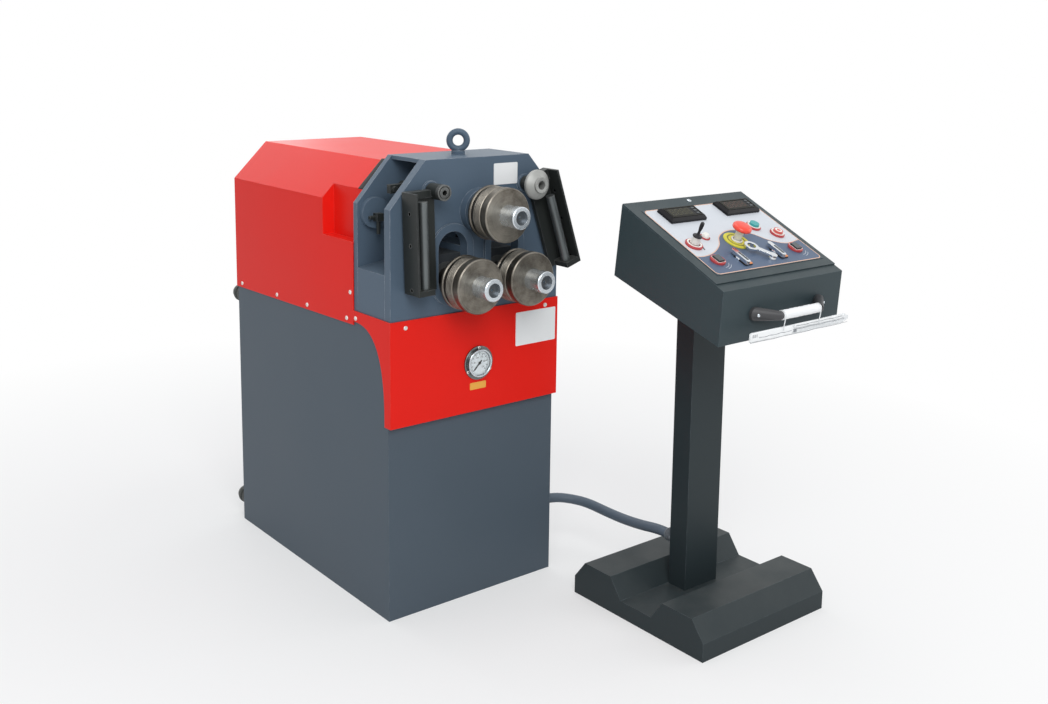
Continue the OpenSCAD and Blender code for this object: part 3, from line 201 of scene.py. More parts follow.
def hexagon(r, steps):
    """Points of a hexagon at even angles, to pair with a circle's."""
    points = []
    for a in angles(steps):
        reach = r / math.cos((a % (math.pi / 3)) - math.pi / 6) * math.cos(math.pi / 6)
        points.append((reach * math.cos(a), reach * math.sin(a)))
    return points


def middle(outline):
    """Mean of an outline's points."""
    return (sum(p[0] for p in outline) / len(outline), sum(p[1] for p in outline) / len(outline))


def grown(outline, by, centre):
    """An outline moved away from a centre, or towards it where by is negative."""
    points = []
    for x, y in outline:
        dx, dy = x - centre[0], y - centre[1]
        reach = math.hypot(dx, dy) or 1
        points.append((x + dx / reach * by, y + dy / reach * by))
    return points


def ribbon(path, width):
    """Both edges of a flat strip of even width along points."""
    left, right = [], []
    for i, p in enumerate(path):
        ahead = Vector(path[min(i + 1, len(path) - 1)]) - Vector(path[max(i - 1, 0)])
        ahead.normalize()
        aside = Vector((-ahead.y, ahead.x)) * width / 2
        left.append(tuple(Vector(p) + aside))
        right.append(tuple(Vector(p) - aside))
    return left, right


def smooth_path(points, step, fine=20):
    """Even points along a Catmull-Rom curve through the given ones, and the curve's length."""
    pts = [Vector(p) for p in points]
    ext = [2 * pts[0] - pts[1]] + pts + [2 * pts[-1] - pts[-2]]
    dense = []
    for a, b, c, d in zip(ext, ext[1:], ext[2:], ext[3:]):
        for k in range(fine):
            t = k / fine
            dense.append(0.5 * ((2 * b) + (c - a) * t + (2 * a - 5 * b + 4 * c - d) * t * t
                                + (3 * b - a - 3 * c + d) * t ** 3))
    dense.append(pts[-1])
    run = [0.0]
    for a, b in zip(dense, dense[1:]):
        run.append(run[-1] + (b - a).length)
    count = max(2, round(run[-1] / step))
    even, j = [], 0
    for k in range(count + 1):
        s = run[-1] * k / count
        while j < len(run) - 2 and run[j + 1] < s:
            j += 1
        t = (s - run[j]) / max(run[j + 1] - run[j], TINY)
        even.append(dense[j].lerp(dense[j + 1], t))
    return even, run[-1]


def facing(point, normal):
    """A place whose local Z is the normal and whose local Y leans upwards."""
    z = Vector(normal).normalized()
    y = Vector(UP) - z.z * z
    if y.length < TINY:
        y = Vector(BACKWARD) - z.y * z
    y.normalize()
    turn = Matrix((y.cross(z), y, z)).transposed().to_4x4()
    return Matrix.Translation(point) @ turn


# Meshes

FINISHES = {}
SOFT = 35


def settle(mesh, name, finish, body=MACHINE, soft=SOFT):
    """Makes a mesh a piece that rides on a body, smooth where its faces meet below soft degrees."""
    mesh.name = name
    mesh.shade_smooth()
    mesh.set_sharp_from_angle(angle=math.radians(soft))
    if not mesh.materials:
        mesh.materials.append(FINISHES[finish])
    piece = bpy.data.objects.new(name, mesh)
    bpy.context.scene.collection.objects.link(piece)
    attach(piece, body)
    return piece


class Shape:
    """Collects simple forms into one mesh, in metres, in the shared frame."""

    def __init__(self):
        self.bm = bmesh.new()

    def ring(self, points):
        """New corners, in order."""
        return [self.bm.verts.new(p) for p in points]

    def level(self, outline, z, place):
        """New corners of an outline at one height of a place."""
        return self.ring([place @ Vector((x, y, z)) for x, y in outline])

    def skin(self, rings, closed=True):
        """Faces between rings of equal length; a ring of one point closes to a tip."""
        for a, b in zip(rings, rings[1:]):
            n = max(len(a), len(b))
            for k in range(n if closed else n - 1):
                corners = [a[k % len(a)], a[(k + 1) % len(a)], b[(k + 1) % len(b)], b[k % len(b)]]
                unique = list(dict.fromkeys(corners))
                if len(unique) > 2:
                    self.bm.faces.new(unique)

    def close(self, first, last):
        """Faces over the first and the last ring of a skin."""
        self.bm.faces.new(list(reversed(first)))
        self.bm.faces.new(last)

    def turned(self, profile, place, steps=48):
        """A lathe form round local Z from points of radius and height."""
        rings = []
        for r, z in profile:
            outline = circle(r, steps) if r > TINY else [(0, 0)]
            rings.append(self.level(outline, z, place))
        self.skin(rings)
        return self

    def prism(self, outline, z0, z1, place, edge=0.0):
        """A slab from an outline, with a small broken edge on top."""
        rings = [self.level(outline, z0, place)]
        if edge:
            rings.append(self.level(outline, z1 - edge, place))
            outline = grown(outline, -edge, middle(outline))
        rings.append(self.level(outline, z1, place))
        self.skin(rings)
        self.close(rings[0], rings[-1])
        return self

    def frame(self, outer, inner, z0, z1, place, edge):
        """A flat ring between two outlines of equal count, with broken upper edges."""
        centre = middle(outer)
        steps = ((outer, z0), (outer, z1 - edge), (grown(outer, -edge, centre), z1),
                 (grown(inner, edge, centre), z1), (inner, z1 - edge), (inner, z0))
        rings = [self.level(outline, z, place) for outline, z in steps]
        self.skin(rings + rings[:1])
        return self

    def bar(self, edges):
        """A closed bar from its long edges, in order round it."""
        lines = [self.ring(e) for e in edges]
        self.skin(lines + lines[:1], closed=False)
        self.bm.faces.new([line[0] for line in lines])
        self.bm.faces.new([line[-1] for line in reversed(lines)])
        return self

    def tube(self, path, radius, sides):
        """A round tube along points; radius is one value or one a point."""
        rings = []
        for i, p in enumerate(path):
            ahead = (path[min(i + 1, len(path) - 1)] - path[max(i - 1, 0)]).normalized()
            side = ahead.cross(Vector(UP))
            if side.length < TINY:
                side = ahead.cross(Vector(BACKWARD))
            side.normalize()
            above = side.cross(ahead)
            r = radius[i] if isinstance(radius, list) else radius
            rings.append(self.ring([p + r * (math.cos(a) * side + math.sin(a) * above)
                                    for a in angles(sides)]))
        self.skin(rings)
        self.close(rings[0], rings[-1])
        return self

    def copy_of(self, mesh, place):
        """Adds a copy of a mesh."""
        copy = mesh.copy()
        copy.transform(place)
        self.bm.from_mesh(copy)
        bpy.data.meshes.remove(copy)

    def mesh(self, name):
        """Gives up the forms as one mesh with its faces outwards."""
        bmesh.ops.recalc_face_normals(self.bm, faces=self.bm.faces)
        mesh = bpy.data.meshes.new(name)
        self.bm.to_mesh(mesh)
        self.bm.free()
        return mesh

    def piece(self, name, finish, body=MACHINE, soft=SOFT, slot=None):
        """Turns the forms into one piece that rides on a body."""
        return settle(self.mesh(name), name, finish, body, soft)


def islands(node):
    """Lowest and highest corner of each separate solid of a CAD node."""
    bm = bmesh.new()
    bm.from_mesh(NODES[node].data)
    bmesh.ops.remove_doubles(bm, verts=bm.verts, dist=TINY)
    seen, found = set(), []
    for first in bm.verts:
        if first in seen:
            continue
        seen.add(first)
        stack, points = [first], []
        while stack:
            v = stack.pop()
            points.append(v.co.copy())
            for e in v.link_edges:
                w = e.other_vert(v)
                if w not in seen:
                    seen.add(w)
                    stack.append(w)
        low = Vector([min(p[i] for p in points) for i in range(3)])
        high = Vector([max(p[i] for p in points) for i in range(3)])
        found.append((low, high))
    bm.free()
    return found


# Nodes

def feed(tree, socket, value):
    """Gives a socket the output of another one, or a constant."""
    if isinstance(value, bpy.types.NodeSocket):
        tree.links.new(value, socket)
    elif socket.type == "RGBA" and len(value) == 3:
        socket.default_value = (*value, 1)
    else:
        socket.default_value = value


def wire(tree, kind, inputs=None, **settings):
    """A new node with its settings made and its inputs fed."""
    node = tree.nodes.new(kind)
    for name, value in settings.items():
        setattr(node, name, value)
    for key, value in (inputs or {}).items():
        feed(tree, node.inputs[key], value)
    return node


def math_node(tree, kind, *values, clamp=False):
    """A sum of sockets or numbers."""
    inputs = dict(enumerate(values))
    return wire(tree, "ShaderNodeMath", inputs, operation=kind, use_clamp=clamp).outputs[0]


def mix_node(tree, factor, a, b):
    """A mix of two colours."""
    return wire(tree, "ShaderNodeMix", {0: factor, 6: a, 7: b}, data_type="RGBA").outputs[2]


def span_node(tree, value, low, high, to_low=0.0, to_high=1.0):
    """A clamped map of a value from one span to another."""
    return wire(tree, "ShaderNodeMapRange", {0: value, 1: low, 2: high, 3: to_low, 4: to_high}).outputs[0]


def noise_node(tree, vector, scale, detail=3.0, rough=0.55):
    """Soft noise, about 0.5 at its middle."""
    inputs = {"Vector": vector, "Scale": scale, "Detail": detail, "Roughness": rough}
    return wire(tree, "ShaderNodeTexNoise", inputs).outputs[0]


def object_place(tree):
    """The point on the piece, in the shared frame."""
    return wire(tree, "ShaderNodeTexCoord").outputs["Object"]


def face_normal(tree):
    return wire(tree, "ShaderNodeNewGeometry").outputs["Normal"]


def parts_of(tree, vector):
    """The three numbers of a vector."""
    return wire(tree, "ShaderNodeSeparateXYZ", {0: vector}).outputs


def shaded(tree, base, value):
    """A colour made brighter or darker by a factor."""
    return wire(tree, "ShaderNodeHueSaturation", {"Color": base, "Value": value}).outputs[0]


def seen_directly(tree):
    """1 for rays from the camera, a reflection or glass, and 0 for the rays that light the object."""
    rays = wire(tree, "ShaderNodeLightPath").outputs
    mirrored = math_node(tree, "MAXIMUM", rays["Is Glossy Ray"], rays["Is Transmission Ray"])
    return math_node(tree, "MAXIMUM", rays["Is Camera Ray"], mirrored)


def mix_shaders(tree, factor, first, second):
    inputs = {0: factor, 1: first.outputs[0], 2: second.outputs[0]}
    return wire(tree, "ShaderNodeMixShader", inputs).outputs[0]


# Shader groups

BEVEL_SAMPLES = 4
GREY = (0.5, 0.5, 0.5, 1)


def group(name, inputs, outputs=("Colour",)):
    """A shader group with named sockets of their values' kinds; gives the tree and its two ends."""
    tree = bpy.data.node_groups.new(name, "ShaderNodeTree")
    for label, value in inputs.items():
        kind = {3: "Vector", 4: "Color"}[len(value)] if isinstance(value, tuple) else "Float"
        socket = tree.interface.new_socket(name=label, in_out="INPUT", socket_type="NodeSocket" + kind)
        socket.default_value = value
    for label in outputs:
        kind = "Color" if label == "Colour" else "Float"
        tree.interface.new_socket(name=label, in_out="OUTPUT", socket_type="NodeSocket" + kind)
    return tree, tree.nodes.new("NodeGroupInput").outputs, tree.nodes.new("NodeGroupOutput").inputs


def edge_wear_group():
    """Finds edges and pales the colour there: partly wear, and partly a painted highlight along the edges."""
    tree, given, out = group("Worn edges", {
        "Colour": GREY, "Worn colour": (0.6, 0.6, 0.6, 1), "Amount": 0.4, "Width": 0.003})
    bevel = wire(tree, "ShaderNodeBevel", {"Radius": given["Width"]}, samples=BEVEL_SAMPLES)
    bend = wire(tree, "ShaderNodeVectorMath", {0: bevel.outputs[0], 1: face_normal(tree)},
                operation="DOT_PRODUCT")
    # Painted highlight and wear: the bevel finds the edges, and noise patches pale them there
    edge = span_node(tree, bend.outputs["Value"], low=0.995, high=0.86)
    blots = noise_node(tree, object_place(tree), scale=38.0, detail=4.0)
    patch = span_node(tree, blots, low=0.38, high=0.66, to_low=0.15, to_high=1.0)
    share = math_node(tree, "MULTIPLY", edge, patch)
    worn = math_node(tree, "MULTIPLY", share, given["Amount"], clamp=True)
    feed(tree, out["Colour"], mix_node(tree, worn, given["Colour"], given["Worn colour"]))
    return tree


def spray_group():
    """Fine grain and slow cloudiness of sprayed paint."""
    tree, given, out = group("Sprayed grain", {
        "Colour": GREY, "Grain scale": 900.0, "Cloud": 0.08, "Dull": 0.45},
        ("Colour", "Roughness", "Height"))
    point = object_place(tree)
    fine = noise_node(tree, point, given["Grain scale"], detail=2.0)
    slow = noise_node(tree, point, scale=3.2, detail=4.0)
    shade = math_node(tree, "MULTIPLY", math_node(tree, "SUBTRACT", slow, 0.5), given["Cloud"])
    speck = math_node(tree, "MULTIPLY", math_node(tree, "SUBTRACT", fine, 0.5), 0.10)
    bright = math_node(tree, "ADD", math_node(tree, "ADD", shade, speck), 1.0)
    rough = math_node(tree, "ADD", given["Dull"], math_node(tree, "MULTIPLY", shade, 1.6), clamp=True)
    feed(tree, out["Colour"], shaded(tree, given["Colour"], bright))
    feed(tree, out["Roughness"], rough)
    feed(tree, out["Height"], fine)
    return tree


def dust_group():
    """A thin veil of dust on faces that look up."""
    tree, given, out = group("Settled dust", {
        "Colour": GREY, "Dust colour": (0.6, 0.6, 0.58, 1), "Amount": 0.1})
    upward = span_node(tree, parts_of(tree, face_normal(tree))[2], low=0.45, high=1.0)
    blots = noise_node(tree, object_place(tree), scale=9.0, detail=5.0)
    patch = span_node(tree, blots, low=0.35, high=0.7, to_low=0.2, to_high=1.0)
    share = math_node(tree, "MULTIPLY", upward, patch)
    veil = math_node(tree, "MULTIPLY", share, given["Amount"], clamp=True)
    feed(tree, out["Colour"], mix_node(tree, veil, given["Colour"], given["Dust colour"]))
    return tree


def turning_group():
    """Fine rings left by a lathe, round an axis along Y through a centre, with painted shade in the grooves,
    and stains.
    """
    tree, given, out = group("Turning marks", {
        "Colour": GREY, "Centre": (0, 0, 0), "Pitch": 900.0, "Streak": 0.2, "Dull": 0.35,
        "Groove radius": 0.0, "Groove shade": 0.4, "Stain colour": (0.05, 0.04, 0.03, 1), "Stain": 0.0},
        ("Colour", "Roughness", "Height"))
    point = object_place(tree)
    shift = wire(tree, "ShaderNodeVectorMath", {0: point, 1: given["Centre"]}, operation="SUBTRACT")
    x, y, z = parts_of(tree, shift.outputs[0])
    squares = [math_node(tree, "POWER", side, 2.0) for side in (x, z)]
    radius = math_node(tree, "SQRT", math_node(tree, "ADD", *squares))
    ring = wire(tree, "ShaderNodeCombineXYZ", {0: math_node(tree, "MULTIPLY", radius, given["Pitch"]),
                                               1: math_node(tree, "MULTIPLY", y, given["Pitch"])})
    marks = noise_node(tree, ring.outputs[0], scale=1.0, detail=3.0, rough=0.6)
    patch = noise_node(tree, point, scale=26.0, detail=4.0)
    shade = math_node(tree, "SUBTRACT", math_node(tree, "ADD", marks, patch), 1.0)
    light = math_node(tree, "ADD", math_node(tree, "MULTIPLY", shade, given["Streak"]), 1.0)
    # Painted shade: turned faces inside the groove radius are darkened, for the shade that falls in the
    # grooves
    across = math_node(tree, "ABSOLUTE", parts_of(tree, face_normal(tree))[1])
    deep = math_node(tree, "MULTIPLY", math_node(tree, "LESS_THAN", across, 0.6),
                     math_node(tree, "LESS_THAN", radius, given["Groove radius"]))
    fall = math_node(tree, "SUBTRACT", 1.0, math_node(tree, "MULTIPLY", deep, given["Groove shade"]))
    steel = shaded(tree, given["Colour"], math_node(tree, "MULTIPLY", light, fall))
    spots = noise_node(tree, point, scale=19.0, detail=6.0, rough=0.7)
    blot = span_node(tree, spots, low=0.44, high=0.7)
    stain = math_node(tree, "MULTIPLY", blot, given["Stain"], clamp=True)
    rough = math_node(tree, "ADD", given["Dull"], math_node(tree, "MULTIPLY", patch, 0.12), clamp=True)
    feed(tree, out["Colour"], mix_node(tree, stain, steel, given["Stain colour"]))
    feed(tree, out["Roughness"], rough)
    feed(tree, out["Height"], marks)
    return tree


def nose_group():
    """Changes the colour in front of a plane across Y, and again in front of a second one."""
    tree, given, out = group("Bright nose", {
        "Colour": GREY, "Nose colour": (0.8, 0.8, 0.8, 1), "End colour": (0.1, 0.1, 0.1, 1),
        "Plane": NUT_PLANE_Y, "End plane": SHAFT_END_Y})
    y = parts_of(tree, object_place(tree))[1]
    ahead = math_node(tree, "LESS_THAN", y, given["Plane"])
    last = math_node(tree, "LESS_THAN", y, given["End plane"])
    nose = mix_node(tree, ahead, given["Colour"], given["Nose colour"])
    feed(tree, out["Colour"], mix_node(tree, last, nose, given["End colour"]))
    return tree


GROUP_MAKERS = {"edge": edge_wear_group, "spray": spray_group, "dust": dust_group, "turn": turning_group,
                "nose": nose_group}
GROUPS = {}


def shader_group(name):
    """One shared group, built on first use."""
    if name not in GROUPS:
        GROUPS[name] = GROUP_MAKERS[name]()
    return GROUPS[name]


# Finishes

DUST = srgb(168, 168, 162)
STAIN = srgb(62, 54, 45)
# Pale colour of worn steel edges, which also stands in for their highlight
WORN_STEEL = srgb(214, 211, 204)
SHAFT_END = srgb(84, 88, 92)
PAINT_WEAR_W = 0.0025
STEEL_WEAR_W = 0.0016
PAINT_GRAIN = 0.0004
FINE_GRAIN = 0.0002
STEEL_RELIEF = 0.25
# Painted shade in the rolls' grooves: its strength, and the radius inside which it falls
GROOVE_SHADE = 0.5
GROOVE_R = 0.0664
PLASTIC_EDGE = 0.0006
COAT_ROUGHNESS = 0.12


class Finish:
    """A material under construction: its tree, its shader and the colour so far."""

    def __init__(self, name, base, metallic=0.0, rough=0.5):
        self.material = bpy.data.materials.new(name)
        self.material.use_nodes = True
        self.tree = self.material.node_tree
        self.shader = self.tree.nodes["Principled BSDF"]
        self.colour = tuple(base)
        self.fix({"Base Color": self.colour, "Metallic": metallic, "Roughness": rough})
        FINISHES[name] = self.material

    def fix(self, values):
        """Sets the shader's own sockets, to constants or to what varies."""
        for label, value in values.items():
            feed(self.tree, self.shader.inputs[label], value)

    def add(self, kind, **values):
        """Places a shared group, passes the colour through it and gives its outputs."""
        inputs = {label.replace("_", " ").capitalize(): value for label, value in values.items()}
        inputs["Colour"] = self.colour
        node = self.tree.nodes.new("ShaderNodeGroup")
        node.node_tree = shader_group(kind)
        for label, value in inputs.items():
            feed(self.tree, node.inputs[label], value)
        self.colour = node.outputs["Colour"]
        self.fix({"Base Color": self.colour})
        return node.outputs

    def bump(self, height, strength, distance, edge=0.0):
        """Relief from a height, over an edge softened by a bevel."""
        inputs = {"Strength": strength, "Distance": distance, "Height": height}
        if edge:
            bevel = wire(self.tree, "ShaderNodeBevel", {"Radius": edge}, samples=BEVEL_SAMPLES)
            inputs["Normal"] = bevel.outputs[0]
        self.fix({"Normal": wire(self.tree, "ShaderNodeBump", inputs).outputs[0]})


def painted(name, base, worn, grain=700.0, dull=0.42, wear=0.35, dust=0.08, relief=0.25, edge=0.0015,
            cloud=0.1, gloss=0.2, ahead=None):
    """Sprayed paint with pale edges, partly wear and partly painted highlight, and a little dust; ahead is a
    second colour and its plane across Y.
    """
    f = Finish(name, base)
    spray = f.add("spray", grain_scale=grain, cloud=cloud, dull=dull)
    if ahead:
        second, plane = ahead
        f.add("nose", nose_colour=second, end_colour=second, plane=plane, end_plane=plane - 1)
    # Pale edges, partly wear and partly painted highlight
    f.add("edge", worn_colour=worn, amount=wear, width=PAINT_WEAR_W)
    f.add("dust", dust_colour=DUST, amount=dust)
    f.bump(spray["Height"], relief, PAINT_GRAIN, edge)
    f.fix({"Roughness": spray["Roughness"], "Specular IOR Level": gloss})


def turned_steel(name, base, centre=(0, 0, 0), dull=0.34, streak=0.35, pitch=900.0, metallic=0.9, edge=0.0008,
                 rim=0.5, nose=None, groove=0.0, stain=0.0):
    """Lathe-turned steel round an axis along Y; nose is the colour of a shaft's bare end. Pale rims are
    partly wear and partly painted highlight, and the turned faces inside the groove radius get painted shade.
    """
    f = Finish(name, base, metallic)
    turn = f.add("turn", centre=centre, pitch=pitch, streak=streak, dull=dull, groove_radius=groove,
                 groove_shade=GROOVE_SHADE, stain_colour=STAIN, stain=stain)
    if nose:
        f.add("nose", nose_colour=nose, end_colour=SHAFT_END, plane=NUT_PLANE_Y, end_plane=SHAFT_END_Y)
    # Pale rims, partly wear and partly painted highlight
    f.add("edge", worn_colour=WORN_STEEL, amount=rim, width=STEEL_WEAR_W)
    f.bump(turn["Height"], STEEL_RELIEF, FINE_GRAIN, edge)
    f.fix({"Roughness": turn["Roughness"]})


def moulded(name, base, rough=0.45, grain=1500.0, relief=0.12, coat=0.0, cloud=0.06, gloss=0.3):
    """Moulded plastic, rubber, print or paper with a fine texture."""
    f = Finish(name, base)
    spray = f.add("spray", grain_scale=grain, cloud=cloud, dull=rough)
    f.bump(spray["Height"], relief, FINE_GRAIN, PLASTIC_EDGE)
    f.fix({"Roughness": spray["Roughness"], "Specular IOR Level": gloss, "Coat Weight": coat,
           "Coat Roughness": COAT_ROUGHNESS})


def make_paints(c):
    """Paints of the machine and the pedestal, with a darker copy of the pedestal's paint as painted shade on
    its base and column.
    """
    painted("Red paint", c.red, srgb(246, 132, 118), grain=420, dull=0.34, relief=0.12, wear=0.3,
            cloud=0.06, gloss=0.1, dust=0.03)
    painted("Cabinet paint", c.cabinet, srgb(142, 150, 158), grain=520, dull=0.46, relief=0.16)
    painted("Head paint", c.slate, srgb(184, 190, 198), grain=480, dull=0.4, relief=0.16, wear=0.75)
    painted("Pedestal paint", c.console, srgb(120, 132, 140), grain=340, dull=0.44, relief=0.5, cloud=0.12)
    # Painted shade: the pedestal's own paint, made darker for the base and the column, which lie in the
    # console's shade
    painted("Base paint", srgb(41, 50, 53), srgb(116, 126, 132), grain=340, dull=0.44, relief=0.5,
            cloud=0.14, wear=0.5)
    painted("Guide paint", c.guide, srgb(132, 134, 136), grain=600, dull=0.42, wear=0.5, relief=0.2,
            cloud=0.28, dust=0.14)
    painted("Stop paint", c.slate, srgb(150, 156, 162), ahead=(c.guide, STOP_PLANE_Y))
    painted("Motor paint", srgb(44, 47, 50), srgb(110, 112, 114), dull=0.5, dust=0.2)
    painted("Block iron", srgb(56, 60, 64), srgb(128, 130, 130), dull=0.45, wear=0.4)
    painted("Bezel red", srgb(184, 70, 72), srgb(226, 152, 148), dull=0.28, relief=0.05, wear=0.2, dust=0.03)


def make_steels(c):
    """Steels of the rolls, the guides and the small hardware."""
    for side, axis in ROLL_AXES.items():
        turned_steel("Roll steel " + side, c.roll, axis, streak=0.9, groove=GROOVE_R, stain=0.75)
        turned_steel("Shaft steel " + side, srgb(70, 68, 64), axis, dull=0.3, nose=srgb(176, 186, 194))
        turned_steel("Nut steel " + side, c.bright, axis, dull=0.2, streak=0.25, pitch=700, rim=0.8)
    turned_steel("Guide roller steel", srgb(104, 109, 110), dull=0.38, streak=0.25, metallic=0.8)
    turned_steel("Hub steel", srgb(92, 94, 94), (-GUIDE_AXIS_X, 0, GUIDE_AXIS_Z), dull=0.4, streak=0.25,
                 metallic=0.8)
    turned_steel("Washer steel", srgb(160, 161, 158), (GUIDE_AXIS_X, 0, GUIDE_AXIS_Z), dull=0.46, streak=0.2,
                 metallic=0.5)
    turned_steel("Gauge steel", srgb(112, 117, 117), (0, 0, GAUGE_Z), dull=0.2, streak=0.2, metallic=1.0)
    turned_steel("Pale steel", srgb(230, 227, 222), dull=0.34, streak=0.05, metallic=0.5, rim=0.2)
    turned_steel("Rim steel", srgb(74, 77, 77), dull=0.5, streak=0.1, metallic=0.3, rim=0.2)
    turned_steel("Chrome", srgb(222, 226, 230), dull=0.1, streak=0.05, metallic=1.0)
    turned_steel("Bright steel", c.bright, dull=0.2, streak=0.12, metallic=1.0)


def make_plastics(c):
    """Plastics and rubber."""
    moulded("Black plastic", srgb(26, 26, 30), rough=0.42)
    moulded("Readout black", srgb(16, 16, 20), rough=0.36, gloss=0.2)
    moulded("Handle plastic", srgb(66, 66, 68), rough=0.34, gloss=0.4)
    moulded("Rocker grey", srgb(54, 64, 68), rough=0.24, coat=0.4)
    moulded("Key grey", srgb(84, 88, 90))
    moulded("Foot rubber", srgb(58, 61, 59), rough=0.5, grain=900, relief=0.2)
    # Also painted shade: the black strip in the gap at the cover's front edge
    moulded("Black rubber", srgb(28, 28, 29), rough=0.62, grain=900, relief=0.2)
    moulded("Conduit plastic", c.conduit, rough=0.5, grain=800, relief=0.15)
    moulded("Gland plastic", srgb(112, 118, 124), rough=0.5)
    moulded("Yellow plastic", srgb(212, 204, 62), rough=0.4)
    moulded("Orange plastic", srgb(222, 140, 84), rough=0.4)
    moulded("Pale plastic", srgb(234, 232, 226), rough=0.4)
    for name, value in (("Red", (240, 76, 58)), ("Coral", (216, 92, 84)), ("Teal", (52, 160, 160))):
        moulded(name + " plastic", srgb(*value), rough=0.3, coat=0.3)


def make_prints(c):
    """Films, plates, paper and what is printed on them, and black for painted shade in holes."""
    moulded("Panel film", c.film, rough=0.35, grain=1200, relief=0.04, cloud=0.04)
    moulded("Panel field", c.film_low, rough=0.35, grain=1200, relief=0.04)
    moulded("Panel outline", c.trim, rough=0.38, grain=1200, relief=0.04)
    moulded("Panel margin", srgb(62, 74, 82), rough=0.42, grain=800, relief=0.1)
    moulded("Olive print", srgb(120, 118, 40))
    moulded("Pale print", srgb(196, 202, 208))
    moulded("Grey print", srgb(140, 144, 148))
    moulded("Green digits", srgb(66, 64, 40), rough=0.4)
    moulded("Red digits", srgb(74, 46, 38), rough=0.4)
    moulded("White plate", srgb(238, 239, 239), rough=0.4, grain=1400, relief=0.04)
    moulded("Yellow plate", srgb(236, 172, 74), rough=0.42, grain=1400, relief=0.04)
    moulded("Dial white", srgb(222, 230, 234), rough=0.5, grain=1400, relief=0.02)
    moulded("Dial black", srgb(22, 22, 23), rough=0.5)
    # Painted shade: flat black for the discs sunk in the guides' holes
    moulded("Hole black", srgb(4, 4, 4), rough=0.9, gloss=0.0)
    moulded("Paper", srgb(244, 245, 245), rough=0.55, grain=1100, relief=0.06)


def make_clear():
    """Windows of the readouts, glass of the gauge and film of the pouch."""
    window = Finish("Readout window", srgb(30, 30, 22), rough=0.3)
    spray = window.add("spray", grain_scale=60.0, cloud=0.3, dull=0.28)
    window.fix({"Roughness": spray["Roughness"], "Specular IOR Level": 0.15})
    glass = Finish("Gauge glass", (1, 1, 1), rough=0.03)
    glass.fix({"Transmission Weight": 1.0, "IOR": 1.2})
    film = Finish("Clear film", srgb(248, 250, 251), rough=0.16)
    film.fix({"Transmission Weight": 0.25, "IOR": 1.3})
    spray = film.add("spray", grain_scale=260.0, cloud=0.05, dull=0.14)
    film.bump(spray["Height"], strength=0.3, distance=0.0006)


CAD_FINISHES = {
    "Cabinet paint": ("base_cabinet", "oil_tank"),
    "Head paint": ("front_plate", "rear_plate", "head_core", "lifting_eye"),
    "Red paint": ("top_cover", "front_apron"),
    "Bright steel": ("cover_screws", "left_rod", "right_rod"),
    "Chrome": ("key_lever", "selector_left", "selector_right"),
    "Black rubber": ("joystick",),
    "Foot rubber": ("rear_feet",),
    "Gauge steel": ("gauge_case",),
    "Dial black": ("gauge_needle",),
    "Guide roller steel": ("left_guide_roller", "right_guide_roller"),
    "Rim steel": ("upper_bearings", "left_bearings", "right_bearings"),
    "Block iron": ("left_block", "right_block", "left_cylinder", "right_cylinder"),
    "Motor paint": ("upper_motor", "left_motor", "right_motor", "pump_motor", "hydraulic_pump"),
    "Guide paint": ("left_guide", "right_guide"),
    "Stop paint": ("guide_stops",),
    "Pedestal paint": ("console_box", "console_lid"),
    # The darker copy of the pedestal's paint, as painted shade
    "Base paint": ("pedestal_base", "pedestal_column"),
    "Panel margin": ("panel_overlay",),
    "Readout black": ("readouts",),
    "Rocker grey": ("rocker_left", "rocker_right"),
    "Handle plastic": ("console_handle",),
    "Bezel red": ("switch_bezels",),
    "Red plastic": ("emergency_stop",),
    "Coral plastic": ("stop_button",),
    "Teal plastic": ("start_button",),
    "Paper": ("document_pouch",),
    "Gland plastic": ("conduit_glands",),
    "Conduit plastic": ("control_conduit",),
}
for roll_side in ROLL_AXES:
    for roll_part in ("roll", "shaft", "nut"):
        CAD_FINISHES[roll_part.capitalize() + " steel " + roll_side] = (roll_side + "_" + roll_part,)


# Repeated screws

SCREW_HEAD = ((1.0, 0.0), (1.0, 0.22), (0.93, 0.36), (0.78, 0.47), (0.62, 0.52))
SCREW_SOCKET = 0.5
SOCKET_FLOOR = 0.12
SCREW_STEPS = 24
SCATTER = "Set on points"


def screw_template(socket=SCREW_SOCKET):
    """A low domed head of radius 1 with a six-sided socket, standing along Z."""
    shape, here = Shape(), Matrix.Identity(4)
    rings = [shape.level(circle(r, SCREW_STEPS), z, here) for r, z in SCREW_HEAD]
    for z in (SCREW_HEAD[-1][1], SOCKET_FLOOR):
        rings.append(shape.level(hexagon(socket, SCREW_STEPS), z, here))
    shape.skin(rings)
    shape.close(rings[0], rings[-1])
    return shape.mesh("Template")


